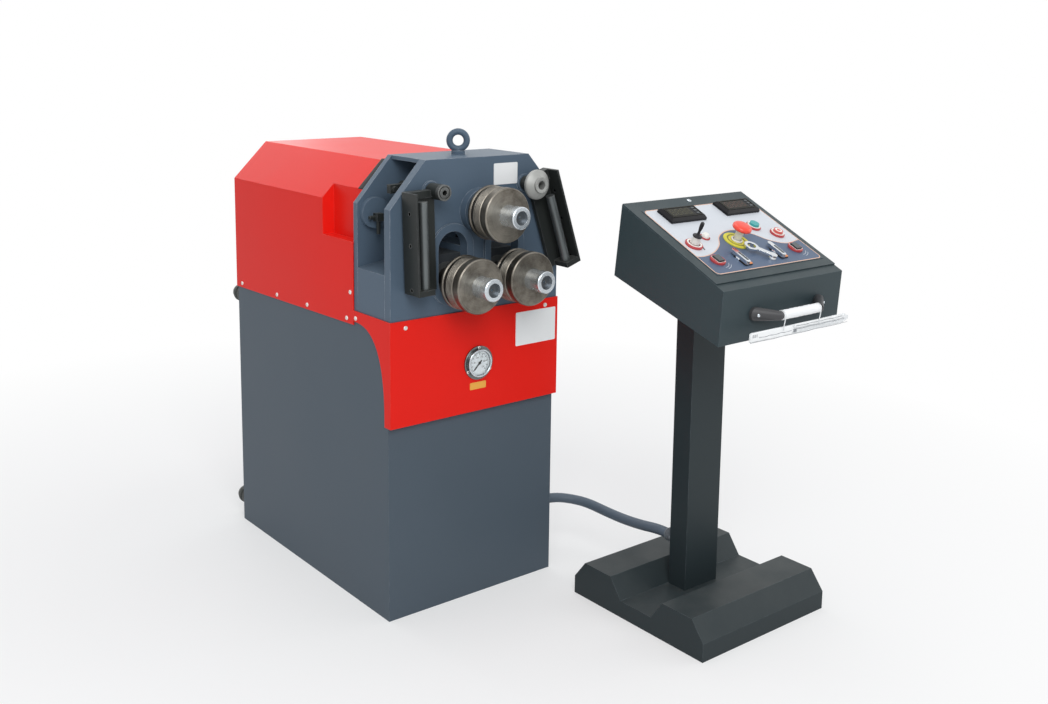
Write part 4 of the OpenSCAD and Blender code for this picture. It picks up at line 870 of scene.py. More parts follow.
def scatter_tree():
    """A tree that sets a template on every point, turned along the point's own direction."""
    if SCATTER in bpy.data.node_groups:
        return bpy.data.node_groups[SCATTER]
    tree = bpy.data.node_groups.new(SCATTER, "GeometryNodeTree")
    kinds = {"Geometry": "Geometry", "Template": "Object", "Size": "Float", "Finish": "Material"}
    for label, kind in kinds.items():
        tree.interface.new_socket(name=label, in_out="INPUT", socket_type="NodeSocket" + kind)
    tree.interface.new_socket(name="Geometry", in_out="OUTPUT", socket_type="NodeSocketGeometry")
    given = tree.nodes.new("NodeGroupInput").outputs
    pattern = wire(tree, "GeometryNodeObjectInfo", {"Object": given["Template"]})
    points = wire(tree, "GeometryNodeMeshToPoints", {"Mesh": given["Geometry"]})
    way = wire(tree, "GeometryNodeInputNamedAttribute", {"Name": "way"}, data_type="FLOAT_VECTOR")
    turn = wire(tree, "FunctionNodeAlignRotationToVector", {"Vector": way.outputs["Attribute"]}, axis="Z")
    each = wire(tree, "GeometryNodeInstanceOnPoints", {
        "Points": points.outputs[0], "Instance": pattern.outputs["Geometry"], "Rotation": turn.outputs[0],
        "Scale": given["Size"]})
    real = wire(tree, "GeometryNodeRealizeInstances", {0: each.outputs[0]})
    paint = wire(tree, "GeometryNodeSetMaterial", {"Geometry": real.outputs[0], "Material": given["Finish"]})
    wire(tree, "NodeGroupOutput", {0: paint.outputs[0]})
    return tree


def scatter(name, template, places, size, finish):
    """Sets one template on many points with their directions and gives a plain mesh piece."""
    scene = bpy.context.scene
    pattern = bpy.data.objects.new("Template", template)
    mesh = bpy.data.meshes.new(name + "_points")
    mesh.from_pydata([tuple(point) for point, _ in places], [], [])
    ways = mesh.attributes.new("way", "FLOAT_VECTOR", "POINT")
    for row, (_, way) in zip(ways.data, places):
        row.vector = way
    seeds = bpy.data.objects.new(name + "_points", mesh)
    for helper in (pattern, seeds):
        scene.collection.objects.link(helper)
    modifier = seeds.modifiers.new("Set", "NODES")
    modifier.node_group = scatter_tree()
    values = {"Template": pattern, "Size": size, "Finish": FINISHES[finish]}
    for item in modifier.node_group.interface.items_tree:
        if item.in_out == "INPUT" and item.name in values:
            modifier[item.identifier] = values[item.name]
    bpy.context.view_layer.update()
    graph = bpy.context.evaluated_depsgraph_get()
    result = bpy.data.meshes.new_from_object(seeds.evaluated_get(graph), depsgraph=graph)
    if not result.polygons:
        raise RuntimeError(name + " came out empty")
    for helper in (seeds, pattern):
        bpy.data.objects.remove(helper)
    return settle(result, name, finish)


# Operators

class BENDER_OT_stage(bpy.types.Operator):
    """Camera, lights, white surround and pale floor"""
    bl_idname = "bender.stage"
    bl_label = "Stage"

    sensor_w = 36
    shift_x, shift_y = 0.0026, -0.1196
    view_end = 60
    eye = (-1.7974, -2.8432, 1.4860)
    yaw, pitch, roll = math.radians(38.82), math.radians(8.97), math.radians(0.72)
    lamp_aim = Vector((0.1, -0.4, 0.6))
    # Name, place, width and power of each lamp
    lamp_rows = (("Key", (-2.0, -3.8, 3.5), 2.6, 118), ("Top", (0.3, 0.3, 4.2), 3.0, 38),
                 ("Fill", (3.6, -2.6, 2.2), 2.4, 26), ("Back", (0.5, 4.0, 2.6), 3.0, 40))
    sky, sky_strength = (0.92, 0.96, 1.0), 0.5
    white = (1, 1, 1)
    floor_half = 14
    floor_grey = (0.86, 0.86, 0.86)
    fade_start, fade_end, glow_near = 0.9, 2.6, 0.42

    def execute(self, context):
        scene = context.scene
        scene.view_settings.view_transform = "Standard"
        self.camera(scene)
        self.lamps(scene)
        self.surround(scene)
        self.floor(scene)
        return {"FINISHED"}

    def camera(self, scene):
        data = bpy.data.cameras.new("View")
        data.lens = sizes().lens
        data.sensor_width = self.sensor_w
        data.sensor_fit = "HORIZONTAL"
        data.shift_x = self.shift_x
        data.shift_y = self.shift_y
        data.clip_end = self.view_end
        cam = bpy.data.objects.new("View", data)
        scene.collection.objects.link(cam)
        level = math.cos(self.pitch)
        ahead = Vector((math.sin(self.yaw) * level, math.cos(self.yaw) * level, -math.sin(self.pitch)))
        right = Vector((math.cos(self.yaw), -math.sin(self.yaw), 0))
        up = right.cross(ahead)
        side = math.cos(self.roll) * right + math.sin(self.roll) * up
        over = math.cos(self.roll) * up - math.sin(self.roll) * right
        turn = Matrix((side, over, -ahead)).transposed().to_4x4()
        cam.matrix_world = Matrix.Translation(self.eye) @ turn
        scene.camera = cam

    def lamps(self, scene):
        for name, place, size, power in self.lamp_rows:
            data = bpy.data.lights.new(name, "AREA")
            data.energy = power
            data.size = size
            lamp = bpy.data.objects.new(name, data)
            lamp.matrix_world = facing(place, Vector(place) - self.lamp_aim)
            scene.collection.objects.link(lamp)

    def surround(self, scene):
        """White where it is seen, and a softer sky where it lights the object."""
        world = bpy.data.worlds.new("Surround")
        world.use_nodes = True
        scene.world = world
        tree = world.node_tree
        tree.nodes.clear()
        white = wire(tree, "ShaderNodeBackground", {0: self.white})
        soft = wire(tree, "ShaderNodeBackground", {0: self.sky, 1: self.sky_strength})
        wire(tree, "ShaderNodeOutputWorld", {0: mix_shaders(tree, seen_directly(tree), soft, white)})

    def floor(self, scene):
        """A floor that takes the object's shadow and fades to white away from it."""
        mesh = bpy.data.meshes.new("Floor")
        r = self.floor_half
        mesh.from_pydata([(-r, -r, 0), (r, -r, 0), (r, r, 0), (-r, r, 0)], [], [(0, 1, 2, 3)])
        floor = bpy.data.objects.new("Floor", mesh)
        scene.collection.objects.link(floor)
        material = bpy.data.materials.new("Pale floor")
        material.use_nodes = True
        tree = material.node_tree
        tree.nodes.clear()
        matt = wire(tree, "ShaderNodeBsdfDiffuse", {0: self.floor_grey})
        glow = wire(tree, "ShaderNodeEmission", {0: self.white, 1: 1.0})
        reach = wire(tree, "ShaderNodeVectorMath", {0: object_place(tree)}, operation="LENGTH")
        fade = span_node(tree, reach.outputs["Value"], self.fade_start, self.fade_end, self.glow_near, 1.0)
        share = math_node(tree, "MULTIPLY", fade, seen_directly(tree))
        wire(tree, "ShaderNodeOutputMaterial", {0: mix_shaders(tree, share, matt, glow)})
        mesh.materials.append(material)


class BENDER_OT_finishes(bpy.types.Operator):
    """Materials, and their place on the solids"""
    bl_idname = "bender.finishes"
    bl_label = "Finishes"

    def execute(self, context):
        for make in (make_paints, make_steels, make_plastics, make_prints):
            make(colours())
        make_clear()
        for name, nodes in CAD_FINISHES.items():
            for node in nodes:
                mesh = NODES[node].data
                mesh.materials.clear()
                mesh.materials.append(FINISHES[name])
        return {"FINISHED"}


class BENDER_OT_conduit(bpy.types.Operator):
    """Ribbed conduit from the cabinet to the pedestal"""
    bl_idname = "bender.conduit"
    bl_label = "Conduit"

    rib_step = 0.0018
    sides = 20

    def execute(self, context):
        points = [CONDUIT_START + Vector(p) for p in CONDUIT_ROUTE]
        path, run = smooth_path(points, self.rib_step)
        radii = [CONDUIT_R if i % 2 else CONDUIT_R - sizes().rib for i in range(len(path))]
        tube = Shape().tube(path, radii, self.sides).piece("conduit_tube", "Conduit plastic", soft=60,
                                                           slot="conduit_plastic")
        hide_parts("control_conduit")
        return {"FINISHED"}


class BENDER_OT_screws(bpy.types.Operator):
    """Domed socket screws of the cover and the apron"""
    bl_idname = "bender.screws"
    bl_label = "Cover screws"

    def execute(self, context):
        places = []
        for low, high in islands("cover_screws"):
            centre, span = (low + high) / 2, high - low
            axis = min(range(3), key=lambda i: span[i])
            way = Vector((0, 0, 0))
            way[axis] = -1 if (axis == 1 or centre.x < 0) else 1
            foot = centre.copy()
            foot[axis] = low[axis] if way[axis] > 0 else high[axis]
            places.append((foot, way))
        piece = scatter("cover_socket_screws", screw_template(), places, sizes().screw, "Pale steel")
        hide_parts("cover_screws")
        return {"FINISHED"}


class BENDER_OT_plates(bpy.types.Operator):
    """Blank plates on the apron and the head"""
    bl_idname = "bender.plates"
    bl_label = "Blank plates"

    head_step = 0.012
    corner, edge = 0.003, 0.0003

    def execute(self, context):
        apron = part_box("front_apron")[0][1]
        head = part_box("base_cabinet")[0][1] - self.head_step
        self.plate("apron_plate", "White plate", 0.138, 0.092, (0.194, apron, 0.720))
        self.plate("gauge_plate", "Yellow plate", 0.052, 0.019, (0.0, apron, 0.588))
        self.plate("head_plate", "White plate", 0.078, 0.056, (0.088, head, 1.143))
        return {"FINISHED"}

    def plate(self, name, finish, width, height, centre):
        outline = round_rect(width, height, self.corner)
        shape = Shape().prism(outline, 0, sizes().plate, facing(centre, FORWARD), self.edge)
        shape.piece(name, finish)


class BENDER_OT_gauge(bpy.types.Operator):
    """Dial with marks and figures, glass, rim and screws of the pressure gauge"""
    bl_idname = "bender.gauge"
    bl_label = "Gauge"

    steps = 64
    dial_r, dial_sink, dial_half_t = 0.0328, 0.0060, 0.0002
    first_angle, sweep = 225, 270
    marks, marks_a_long = 40, 4
    mark_end, mark_top = 0.0285, 0.0004
    long_start, long_half_w = 0.0215, 0.0006
    short_start, short_half_w = 0.0255, 0.0003
    figures, figure_step = 5, 50
    figure_r, figure_size, figure_lift = 0.0165, 0.0062, 0.0003
    glass = [(0.0, 0.0062), (0.012, 0.0060), (0.022, 0.0054), (0.0300, 0.0044), (0.0329, 0.0036),
             (0.0329, 0.0030), (0.0300, 0.0036), (0.022, 0.0046), (0.012, 0.0052), (0.0, 0.0054)]
    rim_r, rim_hole_r, rim_low, rim_top, rim_edge = 0.0373, 0.0329, 0.0030, 0.0064, 0.0008
    screw_ring, screw_sink, screw_r = 0.041, 0.0078, 0.0040
    screw_angles = (90, 210, 330)

    def execute(self, context):
        self.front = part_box("gauge_case")[0][1]
        self.place = facing((0, self.front + self.dial_sink, GAUGE_Z), FORWARD)
        dial = Shape().prism(circle(self.dial_r, self.steps), -self.dial_half_t, self.dial_half_t, self.place)
        dial.piece("gauge_dial", "Dial white", slot="gauge_metal")
        self.scale()
        Shape().turned(self.glass, self.place).piece("gauge_glass", "Gauge glass")
        outer, inner = circle(self.rim_r, self.steps), circle(self.rim_hole_r, self.steps)
        rim = Shape().frame(outer, inner, self.rim_low, self.rim_top, self.place, self.rim_edge)
        rim.piece("gauge_rim", "Bright steel", slot="gauge_metal")
        self.screws()
        return {"FINISHED"}

    def angle(self, share):
        """The angle at a share of the scale."""
        return math.radians(self.first_angle - self.sweep * share)

    def scale(self):
        """Long and short marks, and the figures inside them."""
        scale = Shape()
        for k in range(self.marks + 1):
            a = self.angle(k / self.marks)
            is_long = k % self.marks_a_long == 0
            start = self.long_start if is_long else self.short_start
            half = self.long_half_w if is_long else self.short_half_w
            out, aside = Vector((math.cos(a), math.sin(a))), Vector((-math.sin(a), math.cos(a)))
            corners = [out * start - aside * half, out * self.mark_end - aside * half,
                       out * self.mark_end + aside * half, out * start + aside * half]
            scale.prism([tuple(p) for p in corners], self.dial_half_t, self.mark_top, self.place)
        for k in range(self.figures + 1):
            a = self.angle(k / self.figures)
            spot = (self.figure_r * math.cos(a), self.figure_r * math.sin(a), self.figure_lift)
            self.figure(scale, str(k * self.figure_step), self.place @ Matrix.Translation(spot))
        scale.piece("gauge_marks", "Dial black")

    def figure(self, shape, words, place):
        """A flat number, made a mesh before it is placed."""
        data = bpy.data.curves.new("Figure", "FONT")
        data.body = words
        data.size = self.figure_size
        data.align_x = "CENTER"
        data.align_y = "CENTER"
        text = bpy.data.objects.new("Figure", data)
        bpy.context.scene.collection.objects.link(text)
        bpy.context.view_layer.update()
        graph = bpy.context.evaluated_depsgraph_get()
        mesh = bpy.data.meshes.new_from_object(text.evaluated_get(graph))
        shape.copy_of(mesh, place)
        bpy.data.objects.remove(text)
        bpy.data.meshes.remove(mesh)

    def screws(self):
        """Three screws in the flange of the case."""
        heads = []
        for degrees in self.screw_angles:
            a = math.radians(degrees)
            spot = Vector((self.screw_ring * math.cos(a), self.front + self.screw_sink,
                           GAUGE_Z + self.screw_ring * math.sin(a)))
            heads.append((spot, FORWARD))
        scatter("gauge_screws", screw_template(), heads, self.screw_r, "Pale steel")


class BENDER_OT_panel(bpy.types.Operator):
    """Printed fields and lines of the sloped panel, and a painted shadow of the stick"""
    bl_idname = "bender.panel"
    bl_label = "Panel print"

    left, right, low, high = 0.0320, 0.4260, 0.0560, 0.3380
    corner, corner_steps = 0.014, 8
    sunk, film_top, field_top, line_top = -0.00005, 0.00008, 0.00016, 0.00024
    edge_line = [(0.032, 0.133), (0.061, 0.130), (0.102, 0.140), (0.143, 0.164), (0.175, 0.197),
                 (0.217, 0.215), (0.259, 0.213), (0.295, 0.188), (0.324, 0.155), (0.368, 0.134),
                 (0.426, 0.141)]
    edge_step = 0.004
    edge_w, border_w = 0.0026, 0.0025
    # Painted shadow: a thin dark strip beside the stick, where its shadow falls on the film
    stick_mark, stick_mark_w = [(0.0970, 0.1920), (0.0890, 0.1725), (0.0810, 0.1530)], 0.0030
    # Radius, first and last angle of the arcs round a rocker
    rocker_arcs = ((0.0290, -88, -30), (0.0350, -80, -38))
    arc_w, arc_steps = 0.0013, 12

    def execute(self, context):
        self.place = on_panel(0, 0, PANEL_TOP)
        path, _ = smooth_path([(u, v, 0) for u, v in self.edge_line], self.edge_step)
        line = [(p.x, p.y) for p in path]
        outline = self.inset(0)
        film = Shape().prism(outline, self.sunk, self.film_top, self.place)
        film.piece("panel_film", "Panel film", slot="overlay_film")
        field = Shape()
        self.strip(field, [(u, self.foot(u)) for u, _ in line], line, self.field_top)
        field.piece("panel_field", "Panel field", slot="overlay_film")
        lines = Shape()
        self.strip(lines, *ribbon(line[1:-1], self.edge_w), self.line_top)
        inner = self.inset(self.border_w)
        steps = ((outline, self.sunk), (outline, self.line_top), (inner, self.line_top), (inner, self.sunk))
        rings = [lines.level(edge, h, self.place) for edge, h in steps]
        lines.skin(rings + rings[:1])
        lines.piece("panel_lines", "Panel outline")
        self.marks()
        return {"FINISHED"}

    def inset(self, by):
        """Outline of the print, moved inwards."""
        centre = ((self.left + self.right) / 2, (self.low + self.high) / 2)
        wide, tall = self.right - self.left - 2 * by, self.high - self.low - 2 * by
        return round_rect(wide, tall, self.corner - by, self.corner_steps, centre)

    def marks(self):
        """A painted shadow of the stick, drawn as a thin dark strip, and small printed arcs by the rockers.
        """
        dark, pale = Shape(), Shape()
        self.strip(dark, *ribbon(self.stick_mark, self.stick_mark_w), self.line_top)
        dark.piece("panel_dark_mark", "Dial black", slot="overlay_film")
        for u, v in ROCKERS:
            for reach, first, last in self.rocker_arcs:
                turns = [math.radians(first + (last - first) * k / self.arc_steps)
                         for k in range(self.arc_steps + 1)]
                arc = [(u + reach * math.cos(a), v + reach * math.sin(a)) for a in turns]
                self.strip(pale, *ribbon(arc, self.arc_w), self.line_top)
        pale.piece("panel_pale_marks", "Pale print", slot="overlay_film")

    def foot(self, u):
        """Lower edge of the print, with its round corners."""
        into = self.corner - min(u - self.left, self.right - u)
        if into <= 0:
            return self.low
        return self.low + self.corner - math.sqrt(max(self.corner ** 2 - into ** 2, 0))

    def strip(self, shape, one, other, top):
        """A thin closed strip between two lines of points."""
        edges = ((one, self.sunk), (one, top), (other, top), (other, self.sunk))
        shape.bar([[self.place @ Vector((u, v, h)) for u, v in line] for line, h in edges])


class BENDER_OT_readouts(bpy.types.Operator):
    """Windows, unlit digits and keys of the two readouts"""
    bl_idname = "bender.readouts"
    bl_label = "Readouts"

    top = PANEL_TOP + 0.013
    # Width, height and corner radius
    frame_outer, frame_inner = (0.110, 0.042, 0.003), (0.104, 0.036, 0.002)
    frame_low, frame_top, frame_edge = -0.0004, 0.0011, 0.0003
    window, window_shift = (0.080, 0.032, 0.002), -0.010
    sunk, window_top, window_edge = -0.0002, 0.0005, 0.0002
    digits, digit_start, digit_step = 4, -0.038, 0.0185
    digit_half, bar_half, bar_gap, bar_corner = 0.0058, 0.0011, 0.001, 0.6
    bar_low, bar_top = -0.0001, 0.00012
    # Each bar of a digit: its place in half widths and quarter heights, and if it lies flat
    bars = ((0, 1, True), (0, 0, True), (0, -1, True), (-1, 0.5, False), (1, 0.5, False), (-1, -0.5, False),
            (1, -0.5, False))
    keys, key, key_shift, key_step = 3, (0.010, 0.0065, 0.0015), 0.0425, 0.0115
    key_top, key_edge = 0.0013, 0.0003

    def execute(self, context):
        windows, keys = Shape(), Shape()
        for finish, (u, v) in READOUTS.items():
            windows.frame(round_rect(*self.frame_outer), round_rect(*self.frame_inner), self.frame_low,
                          self.frame_top, on_panel(u, v, self.top), self.frame_edge)
            windows.prism(round_rect(*self.window), self.sunk, self.window_top,
                          on_panel(u + self.window_shift, v, self.top), self.window_edge)
            digits = Shape()
            for k in range(self.digits):
                self.digit(digits, u + self.digit_start + self.digit_step * k, v)
            digits.piece("readout_digits_" + finish.split()[0].lower(), finish, slot="black_plastic")
            for k in range(self.keys):
                place = on_panel(u + self.key_shift, v + self.key_step * (k - 1), self.top)
                keys.prism(round_rect(*self.key), self.sunk, self.key_top, place, self.key_edge)
        windows.piece("readout_windows", "Readout window", slot="black_plastic")
        keys.piece("readout_keys", "Key grey", slot="black_plastic")
        return {"FINISHED"}

    def digit(self, shape, u, v):
        """Seven bars of one digit."""
        half = self.digit_half
        long, thick = 2 * half - 2 * self.bar_gap, 2 * self.bar_half
        for x, y, flat in self.bars:
            size = (long, thick) if flat else (thick, long)
            place = on_panel(u + x * half, v + y * 2 * half, self.top + self.window_top)
            outline = round_rect(*size, self.bar_half * self.bar_corner, COARSE)
            shape.prism(outline, self.bar_low, self.bar_top, place)


class BENDER_OT_controls(bpy.types.Operator):
    """Rings, plates, bases, stick, mushroom and lamp of the panel's controls"""
    bl_idname = "bender.controls"
    bl_label = "Controls"

    button_top, lever_top = 0.0120, 0.0134
    # Place, outer radius and hole radius of the round bezels
    round_bezels = ((JOYSTICK, 0.023, 0.015), (START, 0.020, 0.013), (STOP, 0.020, 0.013))
    bezel_h, round_edge, square_edge = 0.006, 0.0022, 0.0012
    rim_w, rim_low, rim_top, rim_edge = 0.0048, 0.0050, 0.0064, 0.0005
    rocker_r, rocker_hole, rocker_rim, rocker_rim_edge = 0.020, (0.0232, 0.0272), (0.0256, 0.0296), 0.0003
    inset_r, inset_hole_r = 0.0098, 0.0052
    inlay_low, inlay_top, inlay_edge = -0.0004, 0.0003, 0.0002
    stick_lift = 0.003
    skirt = [(0.0, -0.006), (0.008, -0.006), (0.0118, 0.001), (0.0124, 0.0035), (0.0122, 0.0060),
             (0.0112, 0.0110), (0.0104, 0.0165), (0.0102, 0.0215), (0.0, 0.0215)]
    grip = [(0.0, 0.0210), (0.0112, 0.0210), (0.0120, 0.0220), (0.0120, 0.0240), (0.0110, 0.0250),
            (0.0056, 0.0262), (0.0038, 0.0290), (0.0033, 0.0370), (0.0037, 0.0400), (0.0049, 0.0470),
            (0.0050, 0.0570), (0.0045, 0.0605), (0.0032, 0.0620), (0.0, 0.0620)]
    disc_steps = 64
    disc_r, disc_hole_r, disc_h, disc_edge = 0.035, 0.0150, 0.003, 0.0008
    line_r, line_hole_r, line_low, line_top, line_edge = 0.0262, 0.0222, 0.0027, 0.0031, 0.0001
    neck = [(0.0148, 0.0), (0.0148, 0.0030), (0.0140, 0.0036), (0.0120, 0.0036), (0.0120, 0.0), (0.0148, 0.0)]
    cap_lift = 0.032
    stem = [(0.0, -0.0560), (0.0092, -0.0560), (0.0100, -0.0550), (0.0100, -0.0020), (0.0112, 0.0),
            (0.0, 0.0002)]
    cap = [(0.0, 0.0), (0.0195, 0.0), (0.0235, 0.0012), (0.0250, 0.0040), (0.0248, 0.0068), (0.0236, 0.0098),
           (0.0205, 0.0122), (0.0150, 0.0136), (0.0070, 0.0140), (0.0, 0.0140)]
    # Width, height and corner radius
    base, end, inlay = (0.030, 0.046, 0.005), (0.027, 0.011, 0.003), (0.0066, 0.0360, 0.0032)
    base_shift, end_shift, inlay_shift = (0.007, -0.006), (0.007, -0.0230), (0.0020, -0.0060)
    base_h, base_edge, end_lift, end_h = 0.004, 0.0008, 0.0039, 0.0003
    lock = [(0.0, 0.0), (0.0100, 0.0), (0.0100, 0.0066), (0.0092, 0.0078), (0.0, 0.0080)]
    lamp_ring_r, lamp_hole_r, lamp_ring_h, lamp_edge, lamp_steps = 0.0135, 0.0100, 0.0032, 0.001, 40
    lamp_dome = [(0.0, 0.0), (0.0101, 0.0), (0.0101, 0.0060), (0.0094, 0.0092), (0.0068, 0.0118),
                 (0.0034, 0.0130), (0.0, 0.0132)]

    def execute(self, context):
        self.rings()
        self.stick()
        self.mushroom()
        self.selectors()
        self.lamp()
        return {"FINISHED"}

    def rings(self):
        """Red rings with pale inner rims round the stick, the buttons and the rockers."""
        rings, rims = Shape(), Shape()
        for at, r, hole in self.round_bezels:
            place = on_panel(*at, PANEL_TOP)
            rings.frame(circle(r), circle(hole), 0.0, self.bezel_h, place, self.round_edge)
            rims.frame(circle(hole + self.rim_w), circle(hole), self.rim_low, self.rim_top, place,
                       self.rim_edge)
        for at in ROCKERS:
            place, hole = on_panel(*at, PANEL_TOP), square_hole(*self.rocker_hole)
            rings.frame(circle(self.rocker_r), hole, 0.0, self.bezel_h, place, self.square_edge)
            rims.frame(square_hole(*self.rocker_rim), hole, self.rim_low, self.rim_top, place,
                       self.rocker_rim_edge)
        rings = rings.piece("bezel_rings", "Bezel red", slot="bezel_plastic")
        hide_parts("switch_bezels")
        rims.piece("bezel_rims", "Pale plastic", slot="bezel_plastic")
        cream = Shape()
        cream.frame(circle(self.inset_r), circle(self.inset_hole_r), self.inlay_low, self.inlay_top,
                    on_panel(*STOP, PANEL_TOP + self.button_top), self.inlay_edge)
        cream.piece("stop_inset", "Pale plastic", "stop", slot="red_plastic")

    def stick(self):
        """Pale skirt, black disc and grip of the joystick, on its pivot."""
        place = on_panel(*JOYSTICK, PANEL_TOP + self.stick_lift)
        skirt = Shape().turned(self.skirt, place, steps=40)
        skirt.piece("joystick_skirt", "Pale steel", "stick", soft=50, slot="screw_steel")
        grip = Shape().turned(self.grip, place, steps=36)
        grip = grip.piece("joystick_grip", "Black plastic", "stick", soft=50, slot="black_plastic")
        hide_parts("joystick")

    def mushroom(self):
        """Yellow disc with its printed line, pale neck and stem, and smooth cap of the emergency stop."""
        disc, line = Shape(), Shape()
        place, n = on_panel(*ESTOP, PANEL_TOP), self.disc_steps
        disc.frame(circle(self.disc_r, n), circle(self.disc_hole_r, n), 0.0, self.disc_h, place,
                   self.disc_edge)
        disc.piece("mushroom_plate", "Yellow plastic", slot="bezel_plastic")
        line.frame(circle(self.line_r, n), circle(self.line_hole_r, n), self.line_low, self.line_top, place,
                   self.line_edge)
        line.piece("mushroom_line", "Olive print", slot="bezel_plastic")
        neck = Shape().turned(self.neck, on_panel(*ESTOP, PANEL_TOP + self.line_top), steps=40)
        neck.piece("mushroom_neck", "Pale plastic", slot="bezel_plastic")
        place = on_panel(*ESTOP, PANEL_TOP + self.disc_h + self.cap_lift)
        stem = Shape().turned(self.stem, place, steps=40)
        stem.piece("mushroom_stem", "Pale plastic", "mushroom", soft=50, slot="bezel_plastic")
        cap = Shape().turned(self.cap, place, steps=56)
        cap = cap.piece("mushroom_cap", "Red plastic", "mushroom", soft=50, slot="red_plastic")
        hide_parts("emergency_stop")

    def selectors(self):
        """Black bases with a coloured end under the selectors, inlays of their levers, and the key's lock."""
        bases, ends = Shape(), Shape()
        for body, at in SELECTORS.items():
            base = self.beside(at, self.base_shift, 0.0)
            end = self.beside(at, self.end_shift, self.end_lift)
            top = self.beside(at, self.inlay_shift, self.lever_top)
            bases.prism(round_rect(*self.base), 0.0, self.base_h, base, self.base_edge)
            ends.prism(round_rect(*self.end), 0.0, self.end_h, end)
            inlay = Shape()
            inlay.prism(round_rect(*self.inlay), self.inlay_low, self.inlay_top, top, self.inlay_edge)
            inlay.piece(body + "_inlay", "Rocker grey", body, slot="black_plastic")
        bases.piece("selector_bases", "Black plastic", slot="black_plastic")
        ends.piece("selector_ends", "Orange plastic", slot="bezel_plastic")
        lock = Shape().turned(self.lock, on_panel(*KEY, PANEL_TOP), steps=36)
        lock.piece("key_lock", "Chrome", slot="screw_steel")

    def beside(self, at, shift, lift):
        """A place on the panel, moved from a control's own."""
        return on_panel(at[0] + shift[0], at[1] + shift[1], PANEL_TOP + lift)

    def lamp(self):
        """Pale signal lamp in a red ring beside the joystick."""
        place, n = on_panel(*LAMP, PANEL_TOP), self.lamp_steps
        ring = Shape()
        ring.frame(circle(self.lamp_ring_r, n), circle(self.lamp_hole_r, n), 0.0, self.lamp_ring_h, place,
                   self.lamp_edge)
        ring.piece("lamp_ring", "Bezel red", slot="bezel_plastic")
        dome = Shape().turned(self.lamp_dome, place, steps=36)
        dome.piece("lamp_dome", "Pale plastic", soft=60, slot="overlay_film")


